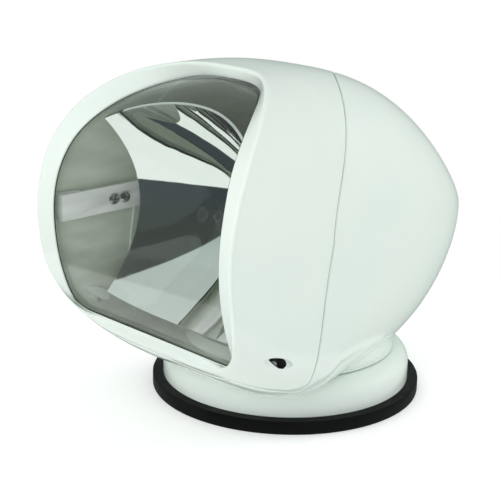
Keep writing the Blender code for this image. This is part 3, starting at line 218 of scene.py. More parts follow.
def soft_floor(z, floor, radius):
    """The larger of z and floor, with a rounded change between them."""
    rise = np.clip((z - floor) / radius, -1.0, 1.0)
    return np.where(z > floor + radius, z, floor + radius * (rise + 1.0) ** 2 / 4)


def section_middle(y):
    return between(TILT_Z, TAIL_Z, share(y, TILT_Y, TAIL_Y))


def head_surface(angle, y):
    """Outside of the head: angle 0 is +X and 90 degrees the top."""
    angle, y = np.broadcast_arrays(np.asarray(angle, float), np.asarray(y, float))
    amount = share(y, TILT_Y, TAIL_Y)
    middle = section_middle(y)
    above = np.sin(angle) >= 0
    forward = np.clip((TILT_Y - y) / NOSE_DEPTH, 0.0, None)
    belly = between(TAIL_Z, HEAD_BELLY, swell(amount, BELLY_CURVE))
    bottom = np.where(y >= TILT_Y, belly, between(HEAD_BELLY, NOSE_BOTTOM, forward ** NOSE_POWER))
    roof = between(TAIL_Z, TILT_Z + FRONT_RADIUS, swell(amount, ROOF_CURVE))
    height = np.where(above, roof - middle, middle - bottom)
    power = np.where(above, between(*TOP_POWERS, amount), between(*BOTTOM_POWERS, amount ** BOTTOM_FADE))
    across, up = rounded(angle, power)
    half_width = HEAD_HALF_WIDTH * swell(amount, SIDE_CURVE)
    z = soft_floor(middle + height * up, HEAD_FLOOR + FLOOR_PROUD, FLOOR_BLEND)
    return np.stack([half_width * across, y, z], axis=-1)


def head_inset(angle, y, depth):
    """The head's surface moved in along its normal."""
    turn, run = 0.004, 0.0004
    point = head_surface(angle, y)
    rear = np.minimum(point[..., 1] + run, TAIL_Y - run / 2)
    round_it = head_surface(angle + turn, y) - head_surface(angle - turn, y)
    along_it = head_surface(angle, rear) - head_surface(angle, rear - 2 * run)
    normal = np.cross(round_it, along_it)
    normal /= np.maximum(np.linalg.norm(normal, axis=-1, keepdims=True), 1e-12)
    outward = point.copy()
    outward[..., 1] = 0.0
    outward[..., 2] -= section_middle(point[..., 1])
    sign = np.sign(np.sum(normal * outward, axis=-1, keepdims=True))
    return point - depth * normal * sign


def front_point(x, swing, depth, above):
    """A point on the curved front, at an angle about the tilt axis and a depth under the surface."""
    drop = np.where(above, FRONT_RADIUS, FRONT_DROP) - depth
    y = TILT_Y - (FRONT_RADIUS - depth) * np.cos(swing)
    return np.stack([x, y, TILT_Z + drop * np.sin(swing)], axis=-1)


def front_edge(angle):
    """Station y at which the head's side, roof or floor meets the curved front."""
    drop = np.where(np.sin(angle) >= 0, FRONT_RADIUS, FRONT_DROP)
    y = np.full_like(angle, TILT_Y - NOSE_DEPTH)
    for _ in range(40):
        rise = np.clip((head_surface(angle, y)[..., 2] - TILT_Z) / drop, -1.0, 1.0) * FRONT_SHARE
        y = TILT_Y - FRONT_RADIUS * np.sqrt(1.0 - rise ** 2)
    return y


def opening(angle, lap=0.0, behind=0.0):
    """Edge of the window opening, made larger by a lap and moved back by a distance."""
    above = np.sin(angle) >= 0
    across, up = rounded(angle, np.where(above, *OPENING_POWERS))
    x = OPENING_HALF_WIDTH * across
    rise = np.where(above, OPENING_TOP, OPENING_BOTTOM) * up
    turn = (np.arctan2(rise, np.abs(x)) - CORNER_TURN) / CORNER_SPREAD
    corner = np.cos(np.minimum(np.abs(turn), 1.0) * math.pi / 2) ** 2
    depth = between(np.where(turn > 0, TOP_DEPTH, RIM_DEPTH), CORNER_DEPTH, corner)
    drop = np.where(above, FRONT_RADIUS, FRONT_DROP)
    most = drop - np.abs(rise) / math.sin(OPENING_SWING)
    depth = -DEPTH_BLEND * np.logaddexp(-depth / DEPTH_BLEND, -most / DEPTH_BLEND)
    swing = np.arcsin(np.minimum((rise + lap * up) / (drop - depth), math.sin(WINDOW_SWING)))
    return front_point(x + lap * across, swing, depth + behind, above)


def seam_station(angle, side):
    """Joint between bezel (side -1) and rear housing (side 1): swept back over the roof, leaning
    forward down the sides, round the lobe at each lower corner and forward under the window."""
    rise = np.arcsin(np.sin(angle))
    dip = -rise - side * SEAM_GAP_ANGLE
    crest = between(SEAM_Y, SEAM_CREST_Y, (rise / (math.pi / 2)) ** 2)
    lean = SEAM_LEAN * (1.0 - (1.0 - share(dip, 0.0, LOBE_START)) ** 2)
    turn = LOBE_RADIUS * (1.0 - np.sqrt(1.0 - share(dip, LOBE_START, LOBE_END) ** 2))
    side_y = SEAM_Y - lean - turn
    rest = 1.0 - share(dip, LOBE_END, LOBE_END + LIP_SWEEP)
    return np.where(rise >= 0, crest, between(side_y, LIP_Y, np.sqrt(1.0 - rest ** 2)))


def section_angles(side):
    """Angles round the sections, closer together where the seam and the opening turn."""
    even = np.radians(np.arange(SECTION_STEP / 2, 360.0, SECTION_STEP))
    first, _, step = CLOSE_DIPS
    above_lobe = np.arcsin(np.sin(even)) > math.radians(step - first)
    even = even[above_lobe | (-np.sin(even) > math.sin(LOBE_END + LIP_SWEEP))]
    quarter = np.linspace(0.0, math.pi / 2, 13)
    dips = np.concatenate([
        np.radians(np.arange(*CLOSE_DIPS)),
        between(LOBE_START, LOBE_END, np.sin(quarter)),
        LOBE_END + LIP_SWEEP * (1.0 - np.cos(quarter[1:]))]) + side * SEAM_GAP_ANGLE
    return np.sort(np.concatenate([even, math.tau - dips, math.pi + dips]))


def beside_seam(angles, side, distance):
    """Angles and stations of points beside the seam, a distance towards the bezel on the surface."""
    station, step = seam_station(angles, side), 0.002
    apart = head_surface(angles + step, station) - head_surface(angles - step, station)
    reach = np.linalg.norm(apart, axis=-1) / (2 * step)
    round_it = reach * ((np.roll(angles, -1) - np.roll(angles, 1)) % math.tau)
    along_it = np.roll(station, -1) - np.roll(station, 1)
    length = np.hypot(round_it, along_it)
    return angles + distance * along_it / length / reach, station - distance * round_it / length


# Meshes

@contextmanager
def editing(mesh):
    """A mesh's bmesh, written back at the end of the with block."""
    shape = bmesh.new()
    shape.from_mesh(mesh)
    yield shape
    shape.to_mesh(mesh)
    shape.free()


def new_object(name, mesh=None):
    obj = bpy.data.objects.new(name, mesh or bpy.data.meshes.new(name))
    bpy.context.scene.collection.objects.link(obj)
    return obj


def smooth(mesh, sharp):
    """Smooth shading, with edges sharp from an angle in degrees."""
    mesh.shade_smooth()
    mesh.set_sharp_from_angle(angle=math.radians(sharp))


def clean(mesh, sharp=35.0):
    """Merges doubles, turns the faces outwards and shades them smooth."""
    with editing(mesh) as shape:
        bmesh.ops.remove_doubles(shape, verts=shape.verts, dist=0.000002)
        bmesh.ops.recalc_face_normals(shape, faces=shape.faces)
    smooth(mesh, sharp)


def skin(name, rows, inside=None, closed=True, wrap=False, first_pole=None, last_pole=None):
    """A mesh through rows of points, closed round each row, and round the rows if wrapped. Faces from the
    named first inner row on take the second material, a darker copy of the white that paints the shade
    inside the head."""
    rows = np.asarray(rows, float)
    count, across = rows.shape[:2]
    points = [tuple(point) for row in rows for point in row]
    faces, slots = [], []
    for j in range(count if wrap else count - 1):
        low, high = j * across, (j + 1) % count * across
        for i in range(across if closed else across - 1):
            k = (i + 1) % across
            faces.append((low + i, low + k, high + k, high + i))
            slots.append(int(inside is not None and j >= inside))
    for pole, row in ((first_pole, 0), (last_pole, count - 1)):
        if pole is not None:
            points.append(tuple(pole))
            for i in range(across):
                faces.append((row * across + i, row * across + (i + 1) % across, len(points) - 1))
                slots.append(int(inside is not None and row >= inside))
    mesh = bpy.data.meshes.new(name)
    mesh.from_pydata(points, [], faces)
    mesh.polygons.foreach_set("material_index", slots)
    clean(mesh)
    return new_object(name, mesh)


def closed_skin(name, rows):
    """A skin whose ends are closed at the middle of their rows."""
    return skin(name, rows, first_pole=np.mean(rows[0], axis=0), last_pole=np.mean(rows[-1], axis=0))


def turned(name, profile, steps, place=Matrix.Identity(4)):
    """A turned piece through the profile of (radius, height), closed unless it starts on the axis."""
    obj = new_object(name)
    with editing(obj.data) as shape:
        loop = [shape.verts.new((radius, 0, height)) for radius, height in profile]
        edges = [shape.edges.new(pair) for pair in zip(loop, loop[1:])]
        if profile[0][0] > 0:
            edges.append(shape.edges.new((loop[-1], loop[0])))
        bmesh.ops.spin(shape, geom=loop + edges, cent=(0, 0, 0), axis=(0, 0, 1), angle=math.tau,
                       steps=steps, use_merge=True)
    obj.data.transform(place)
    clean(obj.data)
    return obj


def bend(start, corner, end, steps):
    """Points, or rows of points, on a curve that rounds the corner between two others."""
    return [(1 - t) ** 2 * start + 2 * t * (1 - t) * corner + t ** 2 * end
            for t in np.linspace(0.0, 1.0, steps)]


def fillet(corner, before, after, radius):
    """Points that round a profile's corner between two neighbours."""
    corner, before, after = Vector(corner), Vector(before), Vector(after)
    start = corner + (before - corner).normalized() * radius
    end = corner + (after - corner).normalized() * radius
    return [tuple(point) for point in bend(start, corner, end, 5)]


def settle(obj):
    """Applies the modifiers, so that the object ends as a plain mesh."""
    bpy.context.view_layer.update()
    graph = bpy.context.evaluated_depsgraph_get()
    mesh = bpy.data.meshes.new_from_object(obj.evaluated_get(graph))
    obj.modifiers.clear()
    obj.data = mesh


def thicken(obj, thickness):
    """Gives an open sheet a wall behind its faces."""
    wall = obj.modifiers.new("wall", "SOLIDIFY")
    wall.thickness = thickness
    wall.offset = -1.0
    settle(obj)


def boolean(obj, *steps):
    """Unites tools with a piece or cuts them out of it: pairs of an operation and a tool, in order."""
    for operation, tool in steps:
        step = obj.modifiers.new(operation.lower(), "BOOLEAN")
        step.operation = operation
        step.solver = "MANIFOLD"
        step.object = tool
    settle(obj)
    for _, tool in steps:
        bpy.data.objects.remove(tool, do_unlink=True)
    smooth(obj.data, 32.0)


def dress(obj, finishes, body, slot, *nodes):
    """Gives a finished piece its materials and body, and hides the nodes that it stands for; the slot is not
    used.
    """
    for name in finishes:
        obj.data.materials.append(finish(name))
    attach(obj, body)
    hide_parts(*nodes)


# Node trees

class Socket:
    """A node's socket on which expressions can be written."""

    def __init__(self, nodes, socket):
        self.nodes = nodes
        self.socket = socket

    def _math(self, operation, *values):
        """A Math node on this socket and others, or on numbers."""
        return self.nodes.node("ShaderNodeMath", dict(enumerate(values)), operation=operation)

    def __add__(self, other):
        return self._math("ADD", self, other)

    __radd__ = __add__

    def __mul__(self, other):
        return self._math("MULTIPLY", self, other)

    __rmul__ = __mul__

    def __sub__(self, other):
        return self._math("SUBTRACT", self, other)

    def __rsub__(self, other):
        return self._math("SUBTRACT", other, self)

    def __truediv__(self, other):
        return self._math("DIVIDE", self, other)

    def __pow__(self, other):
        return self._math("POWER", self, other)

    def root(self):
        return self._math("SQRT", self)

    def clamp(self):
        return self._math("MINIMUM", self._math("MAXIMUM", self, 0.0), 1.0)

    def step(self, low, high):
        """0 below low, 1 above high, and a smooth change between them."""
        return self.nodes.node("ShaderNodeMapRange", {"Value": self, "From Min": low, "From Max": high},
                               interpolation_type="SMOOTHSTEP")


class Nodes:
    """The node tree of a material, the world or a geometry modifier."""

    def __init__(self, tree):
        self.tree = tree
        tree.nodes.clear()

    def node(self, kind, values=None, output=0, **settings):
        """One node: its settings are set first, then its sockets get their values or links."""
        made = self.tree.nodes.new(kind)
        for key, value in settings.items():
            setattr(made, key, value)
        for key, value in (values or {}).items():
            self._feed(made.inputs[key], value)
        return Socket(self, made.outputs[output])

    def _feed(self, target, value):
        """Links a socket, or sets a value. A colour of three numbers gets a full alpha."""
        if isinstance(value, Socket):
            self.tree.links.new(value.socket, target)
        elif isinstance(value, (int, float, str)) or len(target.default_value) == len(value):
            target.default_value = value
        else:
            target.default_value = (*value, 1.0)

    def end(self, kind, value):
        """Ends the tree in an output node."""
        self.tree.links.new(value.socket, self.tree.nodes.new(kind).inputs[0])

    def place(self, scale=(1, 1, 1), turn=(0, 0, 0)):
        """Object coordinates, stretched by a scale or turned."""
        coordinates = self.node("ShaderNodeTexCoord", output="Object")
        return self.node("ShaderNodeMapping", {"Vector": coordinates, "Scale": scale, "Rotation": turn})

    def noise(self, vector, scale, detail=3.0, roughness=0.55):
        return self.node("ShaderNodeTexNoise", {"Vector": vector, "Scale": scale, "Detail": detail,
                                                "Roughness": roughness})

    def mix(self, amount, low, high):
        """A colour between two others. The sockets of a Mix node's colours are 6 and 7."""
        return self.node("ShaderNodeMix", {0: amount, 6: low, 7: high}, 2, data_type="RGBA")

    def bump(self, height, strength, distance):
        return self.node("ShaderNodeBump", {"Strength": strength, "Distance": distance, "Height": height})

    def split(self, vector):
        """A vector's three numbers."""
        made = self.tree.nodes.new("ShaderNodeSeparateXYZ")
        self._feed(made.inputs[0], vector)
        return [Socket(self, output) for output in made.outputs]

    def principled(self, **values):
        """Ends a material in a Principled shader."""
        names = {key.replace("_", " ").title().replace("Ior", "IOR"): value for key, value in values.items()}
        self.end("ShaderNodeOutputMaterial", self.node("ShaderNodeBsdfPrincipled", names))


def geometry_tree(name, kinds):
    """A Geometry Nodes tree with named inputs of these kinds: its nodes, and its inputs' sockets."""
    tree = bpy.data.node_groups.new(name, "GeometryNodeTree")
    for label, kind in kinds.items():
        tree.interface.new_socket(label, in_out="INPUT", socket_type="NodeSocket" + kind)
    tree.interface.new_socket("Geometry", in_out="OUTPUT", socket_type="NodeSocketGeometry")
    g = Nodes(tree)
    group = tree.nodes.new("NodeGroupInput")
    return g, [Socket(g, group.outputs[label]) for label in kinds]


def end_geometry(g, geometry, material):
    """Ends a Geometry Nodes tree in Realize Instances and Set Material."""
    real = g.node("GeometryNodeRealizeInstances", {"Geometry": geometry})
    g.end("NodeGroupOutput", g.node("GeometryNodeSetMaterial", {"Geometry": real, "Material": material}))
    return g.tree


def run_tree(obj, tree, values):
    """Runs a Geometry Nodes tree on an object with these values for its inputs, and applies it."""
    modifier = obj.modifiers.new(tree.name, "NODES")
    modifier.node_group = tree
    for item in tree.interface.items_tree:
        if item.in_out == "INPUT" and item.name in values:
            modifier[item.identifier] = values[item.name]
    settle(obj)


# Finishes

def new_finish(name):
    material = bpy.data.materials.new(name)
    material.use_nodes = True
    return material, Nodes(material.node_tree)


def tinted(colour, factor):
    return tuple(min(factor * part, 1.0) for part in colour)


def gelcoat(name, colour, shade):
    """Glossy white moulding: a cool shade that drifts a little, a faint ripple and fine dust."""
    material, s = new_finish(name)
    place = s.place()
    drift = s.noise(place, 9.0, 2.0)
    dust = s.noise(place, 900.0, 2.0).step(0.60, 0.78)
    tone = s.mix(drift.step(0.35, 0.65), colour, shade)
    tone = s.mix(dust * 0.05, tone, (0.52, 0.55, 0.52))
    rough = 0.10 + 0.05 * s.noise(place, 55.0, 4.0) + 0.05 * dust
    ripple = s.noise(place, 140.0, 2.0)
    s.principled(base_color=tone, roughness=rough, normal=s.bump(ripple, 0.04, 0.0004),
                 specular_ior_level=0.5, coat_weight=0.25, coat_roughness=0.04)
    return material


def rubber(name, colour):
    """Matt black rubber with a fine moulded grain and a greyish bloom."""
    material, s = new_finish(name)
    place = s.place()
    bloom = s.noise(place, 40.0, 5.0).step(0.45, 0.75)
    grain = s.noise(place, 1800.0, 2.0)
    s.principled(base_color=s.mix(bloom, colour, tinted(colour, 2.2)), roughness=0.52 + 0.2 * bloom,
                 normal=s.bump(grain, 0.25, 0.0002), specular_ior_level=0.14)
    return material


def moulding(name, colour, rough=0.45, grain=1400.0):
    """Engineering plastic with fine erosion texture and faint flow marks."""
    material, s = new_finish(name)
    flow = s.noise(s.place((1, 1, 4)), 22.0, 4.0)
    texture = s.noise(s.place(), grain, 2.0)
    tone = s.mix(flow.step(0.3, 0.7), tinted(colour, 0.88), tinted(colour, 1.08))
    s.principled(base_color=tone, roughness=rough + 0.12 * flow, normal=s.bump(texture, 0.18, 0.0002))
    return material


def metal(name, colour, rough, stretch=(1, 1, 1)):
    """Metal whose grain runs along the axis with the smallest stretch."""
    material, s = new_finish(name)
    grain = s.noise(s.place(stretch), 260.0, 4.0, 0.65)
    stain = s.noise(s.place(), 30.0, 4.0)
    tone = s.mix(stain.step(0.35, 0.7), colour, tinted(colour, 0.8))
    s.principled(base_color=tone, metallic=1.0, roughness=rough + 0.18 * grain - 0.06,
                 normal=s.bump(grain, 0.1, 0.0003))
    return material


def zinc(name, colour):
    """Bright zinc plate with a faint spangle."""
    material, s = new_finish(name)
    cells = s.node("ShaderNodeTexVoronoi", {"Vector": s.place(), "Scale": 220.0}, "Color")
    level = s.split(cells)[0]
    s.principled(base_color=s.mix(level, tinted(colour, 0.82), colour), metallic=1.0,
                 roughness=0.26 + 0.16 * level, normal=s.bump(level, 0.05, 0.0002))
    return material


def mirror(name, colour):
    """Vacuum-coated mirror with the slow ripple of its moulded base and a little haze."""
    material, s = new_finish(name)
    place = s.place()
    ripple = s.noise(place, 26.0, 2.0)
    haze = s.noise(place, 90.0, 5.0).step(0.55, 0.8)
    s.principled(base_color=s.mix(haze, colour, tinted(colour, 0.95)), metallic=1.0,
                 roughness=0.02 + 0.05 * haze, normal=s.bump(ripple, 0.12, 0.0015))
    return material


def clear(name, tint):
    """A thin clear moulding: light passes straight through, and its gloss grows at a slant."""
    material, s = new_finish(name)
    through = s.node("ShaderNodeBsdfTransparent", {"Color": tint})
    smear = s.noise(s.place((1, 1, 2)), 12.0, 4.0)
    gloss = s.node("ShaderNodeBsdfGlossy", {"Color": (1.0, 1.0, 1.0), "Roughness": 0.02 + 0.03 * smear})
    slant = s.node("ShaderNodeLayerWeight", {"Blend": 0.5}, "Facing")
    s.end("ShaderNodeOutputMaterial", s.node("ShaderNodeMixShader", {0: 0.03 + 0.9 * slant ** 5,
                                                                     1: through, 2: gloss}))
    return material


def ceramic(name, colour):
    """Unglazed ceramic, speckled and a little scorched."""
    material, s = new_finish(name)
    place = s.place()
    speck = s.noise(place, 700.0, 3.0)
    scorch = s.noise(place, 60.0, 3.0).step(0.5, 0.8)
    s.principled(base_color=s.mix(scorch * 0.35, colour, (0.55, 0.48, 0.38)), roughness=0.55 + 0.2 * speck,
                 normal=s.bump(speck, 0.2, 0.0003))
    return material


def circuit_board(name, colour):
    """Green solder resist over straight copper tracks."""
    material, s = new_finish(name)
    tracks = s.node("ShaderNodeTexBrick", {
        "Vector": s.place(turn=(0, math.radians(90), 0)), "Scale": 260.0, "Mortar Size": 0.09,
        "Brick Width": 1.6, "Row Height": 0.4}, "Fac", offset=0.5)
    s.principled(base_color=s.mix(tracks, colour, (0.06, 0.30, 0.14)), roughness=0.32 + 0.1 * tracks,
                 normal=s.bump(tracks, 0.2, 0.0002), coat_weight=0.3)
    return material


FINISHES = {}


def finish(name):
    """A finish by its name, made when it is first asked for."""
    colours = settings("finish")
    makers = {
        "white_gelcoat": (gelcoat, colours.white, colours.white_shade),
        "black_rubber": (rubber, colours.rubber),
        "grey_moulding": (moulding, (0.34, 0.36, 0.35)),
        # Finish of the head's inner faces: a darker, greener copy of the white moulding, painted shade for
        # the gloom inside the head
        "inside": (moulding, colours.inside, 0.42),
        "pale_moulding": (moulding, colours.arm, 0.3),
        # Black plastic; it also lines the screw pockets in the side panels as painted shade
        "black_moulding": (moulding, (0.03, 0.03, 0.032), 0.4),
        "nylon": (moulding, (0.82, 0.80, 0.72), 0.35, 700.0),
        "mirror": (mirror, (0.95, 0.96, 0.955)),
        "zinc_sheet": (zinc, (0.62, 0.63, 0.62)),
        "stainless": (metal, (0.60, 0.60, 0.59), 0.24, (1, 1, 6)),
        "brass": (metal, (0.72, 0.53, 0.22), 0.28),
        "clear_window": (clear, (0.985, 0.996, 0.990)),
        "ceramic": (ceramic, (0.85, 0.82, 0.76)),
        "board_green": (circuit_board, (0.02, 0.14, 0.07)),
    }
    if name not in FINISHES:
        maker, *values = makers[name]
        FINISHES[name] = maker(name, *values)
    return FINISHES[name]


# What a user can change

class HeadSizes(bpy.types.PropertyGroup):
    gap: FloatProperty(name="Joint", description="Open joint between bezel and rear housing",
                       default=0.0008, min=0.0002, max=0.002, unit="LENGTH", precision=5)
    seam_edge: FloatProperty(name="Joint edges", description="Rounding of the edges along the joint",
                             default=0.0008, min=0.0002, max=0.002, unit="LENGTH", precision=5)
    edge: FloatProperty(name="Front edge", description="Rounding where the side panels meet the rim",
                        default=0.0034, min=0.0005, max=0.012, unit="LENGTH", precision=4)
    lip: FloatProperty(name="Opening edge", description="Rounding of the edge round the window",
                       default=0.0009, min=0.0003, max=0.003, unit="LENGTH", precision=5)
    rows: IntProperty(name="Rows", description="Rows of faces along the rear housing", default=72, min=20,
                      max=200)


class BaseSizes(bpy.types.PropertyGroup):
    gasket_radius: FloatProperty(name="Gasket radius", description="Outer radius of the deck gasket",
                                 default=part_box("mounting_gasket")[1].x, unit="LENGTH", precision=4)
    gasket_height: FloatProperty(name="Gasket height", description="Thickness of the deck gasket",
                                 default=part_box("mounting_gasket")[1].z, unit="LENGTH", precision=4)
    skirt_radius: FloatProperty(name="Skirt radius", description="Outer radius of the base housing",
                                default=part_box("base_housing")[1].x, unit="LENGTH", precision=4)
    height: FloatProperty(name="Base height", description="Level of the base's top",
                          default=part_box("base_housing")[1].z, unit="LENGTH", precision=4)
    steps: IntProperty(name="Steps", description="Faces round a turned piece", default=160, min=32, max=360)


class FinishColours(bpy.types.PropertyGroup):
    white: FloatVectorProperty(name="White", description="Colour of the glossy mouldings", subtype="COLOR",
                               default=(0.80, 0.87, 0.815), min=0.0, max=1.0)
    white_shade: FloatVectorProperty(name="White, shade", description="Second tone of the mouldings",
                                     subtype="COLOR", default=(0.77, 0.85, 0.80), min=0.0, max=1.0)
    # Painted shade: a darker, greener copy of the white that stands for the shade on the inner faces of the
    # head
    inside: FloatVectorProperty(name="Inside", description="Colour of the inside of the head's mouldings",
                                subtype="COLOR", default=(0.74, 0.80, 0.69), min=0.0, max=1.0)
    rubber: FloatVectorProperty(name="Rubber", description="Colour of gasket and seals", subtype="COLOR",
                                default=(0.0035, 0.0035, 0.004), min=0.0, max=1.0)
    arm: FloatVectorProperty(name="Pivot arms", description="Colour of the arms that carry the lamp",
                             subtype="COLOR", default=(0.95, 0.97, 0.95), min=0.0, max=1.0)


class StageSettings(bpy.types.PropertyGroup):
    level: FloatProperty(name="Light level", description="Strength of the light all round", default=0.70,
                         min=0.0, max=5.0)
    key: FloatProperty(name="Key light", description="Power of the lamp at the front, in watts",
                       default=6.4, min=0.0, max=500.0)
    floor: FloatProperty(name="Floor glow", default=0.30, min=0.0, max=1.0,
                         description="What the floor adds to its own colour for the camera")


def settings(kind):
    return getattr(bpy.context.scene, "searchlight_" + kind)


# Pieces

class PieceOperator(bpy.types.Operator):
    bl_options = {"REGISTER", "UNDO"}


class SEARCHLIGHT_OT_inner_parts(PieceOperator):
    """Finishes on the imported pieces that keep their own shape"""
    bl_idname = "searchlight.inner_parts"
    bl_label = "Inner parts"

    def execute(self, context):
        for entry in frame["record"]["subparts"]:
            materials = NODES[entry["node"]].data.materials
            materials.clear()
            materials.append(finish(entry["material_slot"]))
        return {"FINISHED"}


class SEARCHLIGHT_OT_gasket(PieceOperator):
    """Black rubber ring between base and deck"""
    bl_idname = "searchlight.gasket"
    bl_label = "Deck gasket"

    def execute(self, context):
        base = settings("base")
        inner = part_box("base_plate")[1].x + GASKET_FIT
        top, outer = base.gasket_height, base.gasket_radius
        points = [(outer, 0.0), (outer, top), (inner, top), (inner, 0.0)]
        profile = []
        for i, radius in enumerate(GASKET_EDGES):
            profile += fillet(points[i], points[i - 1], points[(i + 1) % 4], radius)
        gasket = turned("deck_gasket", profile, base.steps)
        dress(gasket, ["black_rubber"], "base", "black_rubber", "mounting_gasket")
        return {"FINISHED"}


class SEARCHLIGHT_OT_base_housing(PieceOperator):
    """White turned skirt of the base, with its rounded shoulder"""
    bl_idname = "searchlight.base_housing"
    bl_label = "Base housing"

    def execute(self, context):
        base = settings("base")
        top, outer = base.height, base.skirt_radius
        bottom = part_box("base_housing")[0].z
        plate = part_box("base_plate")[1].x + PLATE_GAP
        x, z = outer - SHOULDER, top - SHOULDER
        inner = SHOULDER - SKIRT_WALL
        quarter = np.linspace(0.0, math.pi / 2, 14)
        profile = [(SPINDLE_HOLE, top)]
        profile += [(x + SHOULDER * math.sin(t), z + SHOULDER * math.cos(t)) for t in quarter]
        profile += fillet((outer, bottom), (outer, top), (0.0, bottom), SKIRT_EDGE)
        profile += [(plate, bottom), (plate, bottom + SKIRT_WALL), (outer - SKIRT_WALL, bottom + SKIRT_WALL),
                    (outer - SKIRT_WALL, z)]
        profile += [(x + inner * math.cos(t), z + inner * math.sin(t)) for t in quarter[::3]]
        profile += [(SPINDLE_HOLE, top - SKIRT_WALL)]
        housing = turned("base_skirt", profile, base.steps)
        dress(housing, ["white_gelcoat"], "base", "white_gelcoat", "base_housing")
        return {"FINISHED"}


class SEARCHLIGHT_OT_rear_housing(PieceOperator):
    """Moulded rear of the head, with the collar that stands on the base"""
    bl_idname = "searchlight.rear_housing"
    bl_label = "Rear housing"

    def execute(self, context):
        housing = skin("head_rear", *self.rows(settings("head")), first_pole=(0, TAIL_Y, TAIL_Z),
                       last_pole=(0, TAIL_Y - TAIL_WALL, TAIL_Z))
        # The inner rows take the second finish, painted shade inside the head
        dress(housing, ["white_gelcoat", "inside"], "head", "white_gelcoat", "rear_housing")
        boolean(housing, ("UNION", turned("collar", self.collar_profile(), 160)))
        return {"FINISHED"}

    @staticmethod
    def rows(head):
        """Rows from the tail over the outside to the seam, and back along the inside, whose first row
        is named too. A flange reaches under the bezel, so that nothing shows through the joint."""
        angles = section_angles(1)
        edge, half_gap = head.seam_edge, head.gap / 2
        start_angles, start = beside_seam(angles, 1, -half_gap - edge)
        amounts = np.sin(np.linspace(0.0, math.pi / 2, head.rows))[:-1]
        rows = []
        for amount in amounts[::-1]:
            turn = between(angles, start_angles, max(1.0 - 5.0 * amount, 0.0))
            rows.append(head_surface(turn, between(start, TAIL_Y, amount)))
        beside = [(-half_gap - edge * (1 - math.sin(t)), edge * (1 - math.cos(t)))
                  for t in np.linspace(0.0, math.pi / 2, 5)[1:]]
        beside += [(-half_gap, FLANGE_DEPTH), (FLANGE_REACH, FLANGE_DEPTH),
                   (FLANGE_REACH, FLANGE_DEPTH + FLANGE_WALL)]
        for distance, depth in beside:
            rows.append(head_inset(*beside_seam(angles, 1, distance), depth))
        inside = len(rows) - 1
        rows += [head_inset(angles, between(start, TAIL_Y, amount), FLANGE_DEPTH + FLANGE_WALL)
                 for amount in amounts[1::3] if amount < LAST_INNER_ROW]
        return rows, inside

    @staticmethod
    def collar_profile():
        """The collar flares from the belly down to the edge that stands on the base."""
        low, top = HEAD_FLOOR + SHELL_WALL / 2, HEAD_FLOOR + COLLAR_RISE
        outer = NECK_BORE + SHELL_WALL
        flare = NECK_RADIUS - outer
        profile = [(NECK_BORE, top)]
        profile += [(outer + flare * (1 + math.cos(t)), between(low, top, 1 + math.sin(t)))
                    for t in np.linspace(math.pi, 1.5 * math.pi, 12)]
        return profile + [(NECK_RADIUS, HEAD_FLOOR + COLLAR_EDGE), (NECK_RADIUS - COLLAR_EDGE, HEAD_FLOOR),
                          (NECK_BORE, HEAD_FLOOR)]


